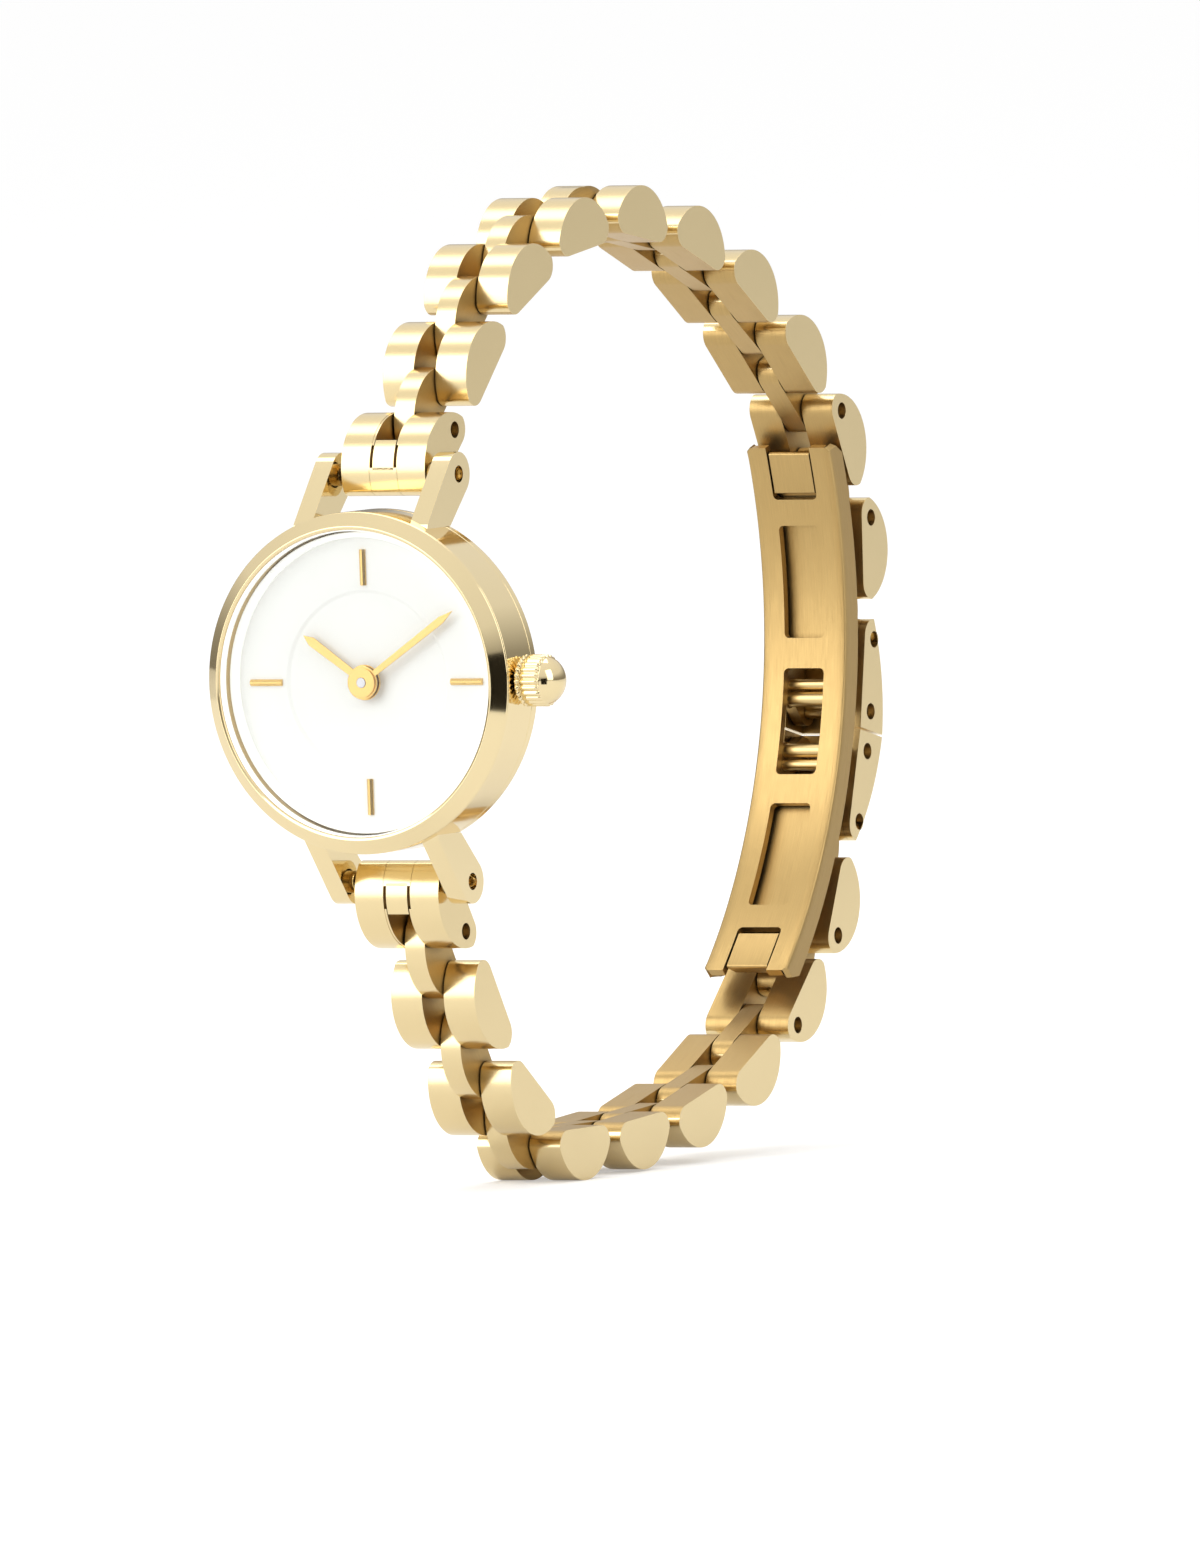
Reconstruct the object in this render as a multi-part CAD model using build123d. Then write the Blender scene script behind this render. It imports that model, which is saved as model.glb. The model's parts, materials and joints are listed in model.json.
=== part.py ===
from build123d import *
import math
import os

os.makedirs("parts", exist_ok=True)

# A small round bracelet watch, millimetres, standing on its bracelet.
# X runs through the crown, the dial faces minus Y and twelve o'clock is plus Z.
# The origin is the middle of the outer face of the case back.

# Case, bezel and case back
case_dia = 20.0
case_wall = 1.05
band_height = 2.9
back_height = 1.4
back_flange_height = 0.6
back_flange_step = 0.6
back_slope = 2.0
bezel_height = 0.75
bezel_slope = 0.825
bezel_width = 1.0
back_chamfer = 0.25

# Lugs
lug_reach = 1.9
lug_pin_behind_back = 0.4
lug_tip_radius = 1.3
lug_root_radius = 1.05
lug_root_inset = 1.3
lug_root_before_back = 2.55
lug_gap = 6.6
lug_width = 1.2
lug_hole_dia = 1.0

# Crystal, seals, dial and rehaut
crystal_thickness = 0.8
crystal_recess = 0.05
gasket_width = 0.12
dial_depth = 0.95
dial_thickness = 0.4
dial_play = 0.15
dial_step_inset = 3.45
dial_step_depth = 0.06
rehaut_width = 0.3
marker_inset = 1.05
marker_length = 2.1
marker_width = 0.38
marker_height = 0.2

# Hands and their arbor
hand_thickness = 0.12
hour_hand_inset = 0.5
hour_hand_width = 0.55
minute_hand_inset = 0.3
minute_hand_width = 0.45
hour_hub_dia = 1.84
minute_hub_dia = 1.72
hour_hand_lift = 0.24
minute_hand_lift = 0.48
arbor_dia = 0.6
hour_pipe_dia = 0.9
arbor_stand = 0.76
dial_hole_dia = 1.1
hour_angle = 304.7
minute_angle = 56.0

# Movement, holder and cell
holder_width = 1.95
movement_edge = 0.5
cell_dia = 6.4
cell_thickness = 1.3
cell_offset = 3.0

# Crown and stem
crown_before_back = 2.5
crown_stand_off = 0.12
sleeve_dia = 3.04
sleeve_length = 1.6
flute_dia = 0.24
flute_count = 24
crown_groove_inset = 0.28
crown_groove_width = 0.14
crown_groove_depth = 0.18
ball_radius = 1.5
ball_sunk = 0.6
stem_dia = 0.7
stem_grip = 0.6
crown_seal_width = 0.25
crown_pull = 1.0

# Links
link_pitch = 7.25
link_length = 6.05
link_width = 5.6
link_thickness = 3.1
link_corner = 1.0
tongue_width = 1.4
pin_inset = 1.2
pin_lift = 1.15
pin_dia = 0.85
pin_recess = 0.35
edge_break = 0.12

# End links and spring bars
groove_width = 0.2
groove_depth = 0.3
groove_overhang = 0.45
bar_hole_wall = 0.23
bar_body_dia = 1.3
bar_tip_dia = 0.8
bar_tip_reach = 0.8

# Clasp
clasp_cover_length = 6.7
clasp_cover_thickness = 2.7
clasp_kink = 7.6
clasp_mouth_gap = 0.14
plate_half_chord = 15.7
plate_sag = 4.4
plate_depth = 1.5
plate_wall = 0.5
plate_below_pins = 3.35
plate_corner = 0.4
plate_end_cut = 0.8
leaf_thickness = 0.55
leaf_hinge_inset = 0.95
hinge_pin_dia = 0.6
knuckle_width = 2.7
knuckle_heel = 1.3
window_width = 2.7
window_corner = 0.3
mouth_window_half = 3.2
leaf_window_start = 5.0
leaf_window_end = 11.7
notch_length = 3.22
arm_width = 0.7
arm_gap_half = 1.2
latch_rod_dia = 0.66
latch_rod_place = 2.33
guide_rod_dia = 0.9
guide_rod_place = 1.5
guide_eye_wall = 0.1

# Clearances
running_fit = 0.03
side_play = 0.05
seat_gap = 0.02
free_gap = 0.12
overrun = 2.0

# The turn searched to bring both halves to the clasp, and its halvings
closing_search = 6.0
closing_steps = 40

# Shares of named sizes
hand_tip_share = 0.13
hand_root_share = 0.8
boss_share = 0.9
cell_cap_share = 0.86

# How far each piece of the upper and lower half leans, in degrees
upper_lean = (42.0, 43.9, 24.5, 7.1, -10.1, -22.0, -34.2, -42.6, -64.3, -91.0)
lower_lean = (-56.6, -58.1, -37.1, 0.0, 4.0, 13.7, 25.5, 43.1, 65.0)

# Sizes that follow from the case
case_bore_dia = case_dia - 2 * case_wall
back_flange_dia = case_dia - 2 * back_flange_step
back_flat_dia = case_dia - 2 * back_slope
bezel_front_dia = case_dia - 2 * bezel_slope
bezel_bore_dia = case_dia - 2 * bezel_width
dial_dia = case_bore_dia - 2 * dial_play
dial_step_dia = dial_dia - 2 * dial_step_inset
marker_outer_radius = dial_dia / 2 - marker_inset
hour_hand_length = dial_step_dia / 2 - hour_hand_inset
minute_hand_length = marker_outer_radius - minute_hand_inset
movement_dia = case_bore_dia - 2 * holder_width
sleeve_start = case_dia / 2 + crown_stand_off
sleeve_end = sleeve_start + sleeve_length
ball_centre = sleeve_end - ball_sunk
stem_inner_end = movement_dia / 2 - stem_grip

rim_y = -(band_height + back_height)
lug_pin = (lug_pin_behind_back, case_dia / 2 + lug_reach)
pin_hole_dia = pin_dia + 2 * running_fit
fork_half = tongue_width / 2 + side_play


def write(part, name):
    part.label = name
    export_step(part, "parts/" + name + ".step")


def turned(points):
    """A ring or disc turned about the dial axis, from radius and Y pairs."""
    outline = make_face(Polyline(*points, close=True))
    return revolve(outline, Axis.Y)


def ring(outer_dia, inner_dia, y_front, y_back):
    low, high = min(y_front, y_back), max(y_front, y_back)
    points = [(inner_dia / 2, low), (outer_dia / 2, low), (outer_dia / 2, high), (inner_dia / 2, high)]
    return turned(points)


def disc(dia, y_front, y_back):
    return ring(dia, 0, y_front, y_back)


def rod_x(dia, length, y=0, z=0, x=0):
    return Pos(x, y, z) * Rot(0, 90, 0) * Cylinder(dia / 2, length)


def rod_y(dia, y_start, y_end, x=0, z=0):
    middle = (y_start + y_end) / 2
    return Pos(x, middle, z) * Rot(90, 0, 0) * Cylinder(dia / 2, abs(y_end - y_start))


# The head


def lug_profile():
    """Side outline of one lug: a round tip on a narrower leaning neck."""
    tip = Pos(lug_pin[0], lug_pin[1]) * Circle(lug_tip_radius)
    root = Pos(-lug_root_before_back, case_dia / 2 - lug_root_inset) * Circle(lug_root_radius)
    return make_hull((tip + root).edges())


def lug(side, end):
    blade = extrude(Plane.YZ * lug_profile(), lug_width)
    blade = Pos(lug_gap / 2, 0, 0) * blade
    blade -= rod_x(lug_hole_dia, 4 * lug_gap, lug_pin[0], lug_pin[1])
    if side < 0:
        blade = mirror(blade, Plane.YZ)
    if end < 0:
        blade = mirror(blade, Plane.XY)
    return blade


def case_middle():
    band = ring(case_dia, case_bore_dia, rim_y, -back_height)
    solid_core = disc((case_dia + case_bore_dia) / 2, rim_y - overrun, overrun)
    back_seat = disc(case_dia + 2 * seat_gap, -back_height, overrun)
    lugs = Part() + [lug(side, end) for side in (1, -1) for end in (1, -1)]
    body = band + (lugs - solid_core - back_seat)
    body -= rod_x(stem_dia + 2 * running_fit, case_dia, -crown_before_back, 0, case_dia / 2)
    seal_dia = stem_dia + 2 * crown_seal_width
    seal_start = case_bore_dia / 2 + (case_dia - case_bore_dia) / 4
    body -= rod_x(seal_dia, case_dia, -crown_before_back, 0, seal_start + case_dia / 2)
    return body


def bezel():
    front = rim_y - bezel_height
    outer = case_dia / 2
    points = [
        (bezel_bore_dia / 2, rim_y),
        (outer, rim_y),
        (outer, rim_y - edge_break),
        (bezel_front_dia / 2, front),
        (bezel_bore_dia / 2, front + edge_break / 2),
    ]
    return turned(points)


def crystal():
    dia = bezel_bore_dia - 2 * gasket_width
    front = rim_y - bezel_height + crystal_recess + edge_break
    return disc(dia, front, front + crystal_thickness)


def crystal_gasket():
    front = rim_y - bezel_height + crystal_recess + edge_break
    return ring(bezel_bore_dia, bezel_bore_dia - 2 * gasket_width, front, rim_y)


def rehaut_ring():
    front = rim_y - bezel_height + crystal_recess + edge_break + crystal_thickness
    outer = dial_dia
    return ring(outer, outer - 2 * rehaut_width, front, rim_y + dial_depth)


def dial():
    top = rim_y + dial_depth
    back = top + dial_thickness
    step = dial_step_dia / 2
    points = [
        (dial_hole_dia / 2, top + dial_step_depth),
        (step - dial_step_depth, top + dial_step_depth),
        (step + dial_step_depth, top),
        (dial_dia / 2, top),
        (dial_dia / 2, back),
        (dial_hole_dia / 2, back),
    ]
    return turned(points)


def hour_markers():
    top = rim_y + dial_depth
    middle = marker_outer_radius - marker_length / 2
    bars = []
    for quarter in range(4):
        bar = Pos(0, top - marker_height / 2, middle) * Box(marker_width, marker_height, marker_length)
        bars.append(Rot(0, 90 * quarter, 0) * bar)
    return Compound(children=bars)


def hand(length, width, hub_dia, bore_dia, lift):
    """A flat pencil hand with a pointed tip and a round hub, pointing at twelve."""
    half = width / 2
    root = half * hand_root_share
    shoulder = length - length * hand_tip_share
    points = [(-root, 0), (root, 0), (half, shoulder), (0, length), (-half, shoulder)]
    outline = make_face(Polyline(*points, close=True)) + Circle(hub_dia / 2)
    outline -= Circle(bore_dia / 2)
    front = rim_y + dial_depth - lift - hand_thickness
    return Pos(0, front, 0) * extrude(Plane.XZ * outline, -hand_thickness)


def hour_hand():
    blade = hand(hour_hand_length, hour_hand_width, hour_hub_dia, hour_pipe_dia, hour_hand_lift)
    return Rot(0, hour_angle, 0) * blade


def minute_hand():
    blade = hand(minute_hand_length, minute_hand_width, minute_hub_dia, arbor_dia, minute_hand_lift)
    top = rim_y + dial_depth - minute_hand_lift - hand_thickness
    boss = ring(minute_hub_dia * boss_share, arbor_dia, top, top - hand_thickness)
    return Rot(0, minute_angle, 0) * (blade + boss)


def minute_arbor():
    top = rim_y + dial_depth
    return rod_y(arbor_dia, top - arbor_stand, top + dial_thickness)


def hour_pipe():
    top = rim_y + dial_depth
    bore = arbor_dia + 2 * running_fit
    return ring(hour_pipe_dia, bore, top - hour_hand_lift - hand_thickness, top + dial_thickness)


def movement_front():
    return rim_y + dial_depth + dial_thickness + seat_gap


def back_inside():
    return -back_flange_height - seat_gap


def movement():
    front = movement_front()
    body = disc(movement_dia, front, back_inside())
    cell = rod_y(cell_dia + 2 * seat_gap, back_inside() - cell_thickness, overrun, -cell_offset, 0)
    body -= cell
    bore_middle = stem_inner_end + movement_dia / 2
    return body - rod_x(stem_dia + 2 * running_fit, movement_dia, -crown_before_back, 0, bore_middle)


def button_cell():
    back = back_inside() - seat_gap
    front = back_inside() - cell_thickness + seat_gap
    can = rod_y(cell_dia, back - movement_edge / 2, back, -cell_offset, 0)
    return can + rod_y(cell_dia * cell_cap_share, front, back, -cell_offset, 0)


def movement_holder():
    inner = movement_dia + 2 * seat_gap
    outer = case_bore_dia - 2 * seat_gap
    body = ring(outer, inner, movement_front(), back_inside())
    bore = rod_x(stem_dia + 2 * running_fit, case_dia, -crown_before_back, 0, case_dia / 2)
    return body - bore


def case_back():
    inner = case_bore_dia - 2 * seat_gap
    points = [
        (0, 0),
        (back_flat_dia / 2, 0),
        (back_flange_dia / 2, -back_flange_height + back_chamfer),
        (back_flange_dia / 2, -back_flange_height),
        (case_dia / 2 - back_chamfer, -back_flange_height),
        (case_dia / 2, -back_flange_height - back_chamfer),
        (case_dia / 2, -back_height),
        (inner / 2, -back_height),
        (inner / 2, -back_flange_height - seat_gap),
        (0, -back_flange_height - seat_gap),
    ]
    return turned(points)


def ball_end():
    """The round end of the crown, cut just inside the end of the fluted sleeve."""
    start = ball_sunk - edge_break / 4
    turn = math.acos(start / ball_radius)
    rim = (start, ball_radius * math.sin(turn))
    middle = (ball_radius * math.cos(turn / 2), ball_radius * math.sin(turn / 2))
    arc = ThreePointArc(rim, middle, (ball_radius, 0))
    outline = make_face([arc, Line((ball_radius, 0), (start, 0)), Line((start, 0), rim)])
    return revolve(outline, Axis.X)


def crown():
    y = -crown_before_back
    outline = Circle(sleeve_dia / 2)
    for flute in range(flute_count):
        angle = 360 * flute / flute_count
        outline -= Rot(0, 0, angle) * Pos(sleeve_dia / 2, 0) * Circle(flute_dia / 2)
    sleeve = extrude(Plane.YZ * outline, sleeve_end - sleeve_start)
    sleeve = Pos(sleeve_start, y, 0) * sleeve
    groove_place = sleeve_start + crown_groove_inset
    groove = rod_x(sleeve_dia + overrun, crown_groove_width, y, 0, groove_place)
    groove -= rod_x(sleeve_dia - 2 * crown_groove_depth, crown_groove_width, y, 0, groove_place)
    ball = Pos(ball_centre, y, 0) * ball_end()
    body = (sleeve - groove) + ball
    return body - rod_x(stem_dia, sleeve_end - sleeve_start, y, 0, (sleeve_start + sleeve_end) / 2)


def setting_stem():
    end = sleeve_end - (sleeve_end - sleeve_start) / 4
    start = stem_inner_end + free_gap
    return rod_x(stem_dia, end - start, -crown_before_back, 0, (start + end) / 2)


def crown_seal():
    start = case_bore_dia / 2 + (case_dia - case_bore_dia) / 4
    length = case_dia / 2 - start - crown_seal_width
    place = start + length / 2
    body = rod_x(stem_dia + 2 * crown_seal_width, length, -crown_before_back, 0, place)
    return body - rod_x(stem_dia + 2 * running_fit, 2 * length, -crown_before_back, 0, place)


# The bracelet links


def half_moon(length, thickness, corner):
    """Side outline of a link: flat inner face, round corners, one outer arc."""
    half = length / 2
    rise = thickness - corner
    start = (-half, corner)
    end = (half, corner)
    outer = ThreePointArc(start, (0, corner + rise), end)
    right = RadiusArc(end, (half - corner, 0), corner)
    base = Line((half - corner, 0), (-half + corner, 0))
    left = RadiusArc((-half + corner, 0), start, corner)
    return make_face([outer, right, base, left])


def moon_block(width, u_middle, length=link_length, thickness=link_thickness):
    """A half moon as wide as asked, its inner face below the pins by the pin lift."""
    outline = Pos(u_middle, -pin_lift) * half_moon(length, thickness, link_corner)
    block = extrude(Plane.YZ * outline, width / 2, both=True)
    return block


def slot(half_width, u_start, u_end):
    middle = (u_start + u_end) / 2
    size = abs(u_end - u_start)
    return Pos(0, middle, 0) * Box(2 * half_width, size, 4 * link_thickness)


lobe_middle = link_length / 2 - pin_inset
link_gap = link_pitch - link_length
end_span = link_length - 2 * pin_inset


def link(front_tongue=False):
    """Two side lobes and a middle tongue set on by half a pitch, as one piece.

    The pin through the fork is at zero and the next pin is one pitch on."""
    lobes = moon_block(link_width, lobe_middle)
    lobes = chamfer(lobes.faces().sort_by(Axis.X)[-1].edges(), edge_break / 2)
    lobes = chamfer(lobes.faces().sort_by(Axis.X)[0].edges(), edge_break / 2)
    lobes -= slot(tongue_width / 2, -overrun * 2, lobe_middle * 4)
    lobes -= slot(fork_half, -overrun * 2, lobe_middle)
    tongue = moon_block(tongue_width, lobe_middle + link_pitch / 2)
    body = lobes + tongue
    body -= rod_x(pin_hole_dia, 2 * link_width, link_pitch, 0)
    if front_tongue:
        body += moon_block(tongue_width, lobe_middle - link_pitch / 2)
        filler = slot(fork_half, lobe_middle - link_pitch / 2, lobe_middle)
        filler = filler & moon_block(link_width, lobe_middle)
        body += filler & moon_block(link_width, lobe_middle - link_pitch / 2)
        return body - rod_x(pin_hole_dia, 2 * link_width, -link_gap - 2 * pin_inset, 0)
    return body - rod_x(pin_hole_dia, 2 * link_width, 0, 0)


def push_pin():
    return rod_x(pin_dia, link_width - 2 * pin_recess, 0, 0)


def riveted_pin():
    return rod_x(pin_dia, link_width, 0, 0)


def end_link():
    """The piece between the lugs: spring bar hole at zero, a fork at its far end."""
    body = moon_block(link_width, lobe_middle)
    fork_start = bar_body_dia / 2 + free_gap + bar_hole_wall
    body -= slot(fork_half, fork_start, 2 * link_length)
    crest = link_thickness - pin_lift
    core_length = link_length - 2 * groove_depth
    core = moon_block(2 * link_width, lobe_middle, core_length, link_thickness - groove_depth)
    for side in (1, -1):
        place = side * (tongue_width + groove_width) / 2
        groove = Box(groove_width, fork_start + groove_overhang, link_thickness)
        body -= Pos(place, (fork_start - groove_overhang) / 2, crest) * groove - core
    body -= rod_x(bar_body_dia + 2 * free_gap, 2 * link_width)
    return body - rod_x(pin_hole_dia, 2 * link_width, end_span, 0)


def spring_bar(reach):
    """A spring bar: a tube as long as the end link, with a thinner tip at each end."""
    body = rod_x(bar_body_dia, lug_gap - 2 * free_gap)
    return body + rod_x(bar_tip_dia, lug_gap + 2 * reach)


# The clasp, drawn with its pins level: U runs down the loop, V points out of it

cover_reach = clasp_cover_length - 2 * pin_inset
half_kink = clasp_kink / 2
mouth_reach = pin_inset
cover_half = cover_reach * math.cos(math.radians(half_kink)) + mouth_reach
pin_rise = cover_reach * math.sin(math.radians(half_kink))
plate_radius = (plate_half_chord ** 2 + plate_sag ** 2) / (2 * plate_sag)
arc_centre_v = pin_rise - plate_below_pins - plate_radius
leaf_inner_radius = plate_radius + plate_wall + free_gap
hinge_radius = plate_radius + plate_wall + free_gap + leaf_thickness / 2
hinge_angle = math.degrees(math.asin((plate_half_chord - leaf_hinge_inset) / hinge_radius))


def on_arc(radius, degrees):
    """U and V of a point on the arc of the clasp, measured from its middle."""
    turn = math.radians(degrees)
    return (radius * math.sin(turn), arc_centre_v + radius * math.cos(turn))


def arc_degrees(length):
    return math.degrees(length / plate_radius)


def arc_block(width, inner_radius, outer_radius, from_degrees, to_degrees):
    """A strip of the clasp between two radii and two angles."""
    low, high = from_degrees, to_degrees
    middle = (low + high) / 2
    outer = ThreePointArc(on_arc(outer_radius, low), on_arc(outer_radius, middle), on_arc(outer_radius, high))
    inner = ThreePointArc(on_arc(inner_radius, high), on_arc(inner_radius, middle), on_arc(inner_radius, low))
    sides = [Line(outer @ 1, inner @ 0), Line(inner @ 1, outer @ 0)]
    outline = make_face([outer, sides[0], inner, sides[1]])
    return extrude(Plane.YZ * outline, width / 2, both=True)


def plate_end_cuts(end_angle, side):
    """What is cut off one end of the plate: its wall tips and its two corners."""
    outer = plate_radius + plate_depth
    step = arc_degrees(plate_end_cut)
    low = on_arc(outer - plate_end_cut, side * end_angle)
    back = on_arc(outer, side * (end_angle - step))
    far = on_arc(outer + plate_end_cut, side * (end_angle + step))
    tip = extrude(Plane.YZ * make_face(Polyline(low, back, far, close=True)), link_width, both=True)
    u, v = on_arc(plate_radius, side * end_angle)
    corner = math.hypot(plate_corner, plate_corner)
    block = Rot(-side * end_angle, 0, 0) * Rot(0, 0, 45) * Box(corner, corner, 4 * plate_depth)
    half = link_width / 2
    return tip + Pos(half, u, v) * block + Pos(-half, u, v) * block


def window(width, from_degrees, to_degrees):
    """One opening of the plate, with round corners."""
    inner, outer = plate_radius - overrun, plate_radius + plate_depth
    block = arc_block(width, inner, outer, from_degrees, to_degrees)
    upright = block.edges().filter_by(GeomType.LINE) - block.edges().filter_by(Axis.X)
    return fillet(upright, window_corner)


def clasp_plate():
    """Curved channel next to the wrist, open at both ends, with five openings."""
    end_angle = math.degrees(math.asin(plate_half_chord / plate_radius))
    outer = plate_radius + plate_depth
    body = arc_block(link_width, plate_radius, outer, -end_angle, end_angle)
    body -= plate_end_cuts(end_angle, 1) + plate_end_cuts(end_angle, -1)
    channel = link_width - 2 * plate_wall
    body -= arc_block(channel, plate_radius + plate_wall, outer + overrun, -2 * end_angle, 2 * end_angle)
    mouth = arc_degrees(mouth_window_half)
    body -= window(window_width, -mouth, mouth)
    start = arc_degrees(leaf_window_start)
    end = arc_degrees(leaf_window_end)
    notch = end_angle - arc_degrees(notch_length)
    for side in (1, -1):
        low, high = sorted((side * start, side * end))
        body -= window(window_width, low, high)
        low, high = sorted((side * notch, side * 2 * end_angle))
        body -= window(knuckle_width + 2 * free_gap, low, high)
        u, v = on_arc(hinge_radius, side * hinge_angle)
        body -= rod_x(hinge_pin_dia, 2 * link_width, u, v)
    return body


def knuckle():
    """The block at the hinge end of a leaf, flush with the inner face of the plate."""
    flush = leaf_thickness / 2 + free_gap + plate_wall - running_fit
    heel = Pos(knuckle_heel - edge_break, edge_break - flush) * Circle(edge_break)
    outline = make_hull((Circle(flush) + heel).edges())
    outline -= Pos(0, leaf_thickness / 2 + flush) * Rectangle(4 * flush, 2 * flush)
    return extrude(Plane.YZ * outline, knuckle_width / 2, both=True)


def leaf():
    """One folding leaf of the upper half, from the plate hinge to the mouth arms."""
    width = link_width - 2 * plate_wall - 2 * free_gap
    outer_radius = leaf_inner_radius + leaf_thickness
    strip_end = arc_degrees(mouth_window_half + free_gap)
    body = arc_block(width, leaf_inner_radius, outer_radius, -hinge_angle, -strip_end)
    u, v = on_arc(hinge_radius, -hinge_angle)
    body += Pos(0, u, v) * Rot(hinge_angle, 0, 0) * knuckle()
    body += leaf_arms(width / 2)
    body -= rod_x(hinge_pin_dia + 2 * running_fit, 2 * link_width, u, v)
    body -= rod_x(pin_hole_dia, 2 * link_width, -mouth_reach, pin_rise)
    for dia, place in ((latch_rod_dia, latch_rod_place), (guide_rod_dia, guide_rod_place)):
        rod_u, rod_v = rod_spot(place)
        body -= rod_x(dia, 2 * link_width, rod_u, rod_v)
    return body


def rod_spot(place):
    return on_arc(leaf_inner_radius + leaf_thickness, -arc_degrees(place))


def leaf_arms(outer_x):
    """Two side arms that rise from the leaf to the pin of the clasp cover."""
    low = on_arc(leaf_inner_radius, -arc_degrees(mouth_window_half + 3 * free_gap))
    eye = Pos(-mouth_reach, pin_rise) * Circle(pin_dia)
    heel = Pos(*rod_spot(latch_rod_place)) * Circle(leaf_thickness)
    foot = Pos(low[0], low[1] + leaf_thickness / 2) * Circle(leaf_thickness / 2)
    guide = Pos(*rod_spot(guide_rod_place)) * Circle(guide_rod_dia / 2 + guide_eye_wall)
    outline = make_hull((eye + heel).edges()) + make_hull((heel + foot).edges())
    outline += make_hull((heel + guide).edges())
    arm = extrude(Plane.YZ * outline, arm_width)
    right = Pos(outer_x - arm_width, 0, 0) * arm
    return right + mirror(right, Plane.YZ)


def leaf_rods():
    """The cover pin, the latch rod and the guide rod that the arms of one leaf carry."""
    length = link_width - 2 * plate_wall - 2 * free_gap
    rods = [rod_x(pin_dia, link_width - 2 * pin_recess, -mouth_reach, pin_rise)]
    for dia, place in ((latch_rod_dia, latch_rod_place), (guide_rod_dia, guide_rod_place)):
        rod_u, rod_v = rod_spot(place)
        rods.append(rod_x(dia, length, rod_u, rod_v))
    return Compound(children=rods)


def hinge_pins():
    """The two pins that hold the leaves in the side walls of the plate."""
    pins = []
    for side in (1, -1):
        u, v = on_arc(hinge_radius, side * hinge_angle)
        pins.append(rod_x(hinge_pin_dia, link_width - edge_break, u, v))
    return Compound(children=pins)


def clasp_cover():
    """The flatter link over the leaf: a fork at each end and a square mouth end."""
    whole_middle = clasp_cover_length - pin_inset
    whole = moon_block(link_width, whole_middle, 2 * clasp_cover_length, clasp_cover_thickness)
    mouth_end = mouth_reach - clasp_mouth_gap / 2
    keep = Box(2 * link_width, 4 * link_length, 4 * link_thickness)
    keep = Pos(0, cover_reach, 0) * Rot(-half_kink, 0, 0) * Pos(0, mouth_end - 2 * link_length, 0) * keep
    body = whole & keep
    body -= slot(fork_half, -overrun * 2, lobe_middle)
    pocket_half = link_width / 2 - plate_wall
    pocket_depth = pin_dia + free_gap
    pocket = Box(2 * pocket_half, 2 * overrun + mouth_reach, 2 * overrun)
    pocket_start = cover_reach - pin_dia - latch_rod_place
    pocket = Pos(0, pocket_start + overrun + mouth_reach / 2, pocket_depth - overrun) * pocket
    body -= pocket
    body -= rod_x(pin_hole_dia, 2 * link_width, cover_reach, 0)
    return body - rod_x(pin_hole_dia, 2 * link_width, 0, 0)


# The rest pose


def step_along(place, lean, length):
    turn = math.radians(lean)
    return (place[0] + length * math.cos(turn), place[1] + length * math.sin(turn))


def half_loop(side, leans, spread):
    """Pin places and leans of one half, from its lug to the clasp cover."""
    here = (lug_pin[0], side * lug_pin[1])
    out = []
    for count, lean in enumerate(leans):
        lean = lean + side * spread
        if count == 1:
            here = step_along(here, lean, link_gap + 2 * pin_inset)
        out.append((here, lean))
        length = end_span if count == 0 else link_pitch
        here = step_along(here, lean, length)
    return out, here


def mouth_span(spread):
    upper_end = half_loop(1, upper_lean, spread)[1]
    lower_end = half_loop(-1, lower_lean, spread)[1]
    return math.dist(upper_end, lower_end) - 2 * cover_half


def closing_spread():
    """The turn of both halves that brings them to the clasp, found by halving."""
    low, high = -closing_search, closing_search
    for _ in range(closing_steps):
        middle = (low + high) / 2
        if mouth_span(middle) > 0:
            high = middle
        else:
            low = middle
    return (low + high) / 2


def seat(place, lean, side):
    here = Pos(0, place[0], place[1]) * Rot(lean, 0, 0)
    return here if side > 0 else here * Rot(0, 180, 0)


spread = closing_spread()
upper, upper_end = half_loop(1, upper_lean, spread)
lower, lower_end = half_loop(-1, lower_lean, spread)
clasp_lean = math.degrees(math.atan2(lower_end[1] - upper_end[1], lower_end[0] - upper_end[0]))
clasp_middle = ((upper_end[0] + lower_end[0]) / 2, (upper_end[1] + lower_end[1]) / 2)
clasp_seat = seat(clasp_middle, clasp_lean, 1)


push_pins = {"upper": (8, 9), "lower": (7, 8)}


def write_half(side, half, word):
    """The end link, spring bar and links of one half of the bracelet."""
    place, lean = half[0]
    here = seat(place, lean, side)
    write(here * end_link(), word + "_end_link")
    reach = bar_tip_reach if side > 0 else -side_play
    write(here * spring_bar(reach), word + "_spring_bar")
    far_pin = step_along(place, lean, end_span)
    write(seat(far_pin, lean, side) * push_pin(), word + "_end_link_pin")
    for count, (place, lean) in enumerate(half[1:], start=1):
        name = word + "_link_" + str(count)
        here = seat(place, lean, side)
        if count == 1:
            write(here * link(front_tongue=True), name)
        elif count in push_pins[word]:
            write(here * link(), name)
            write(here * push_pin(), name + "_pin")
        else:
            write(Compound(children=[here * link(), here * riveted_pin()]), name)


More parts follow.
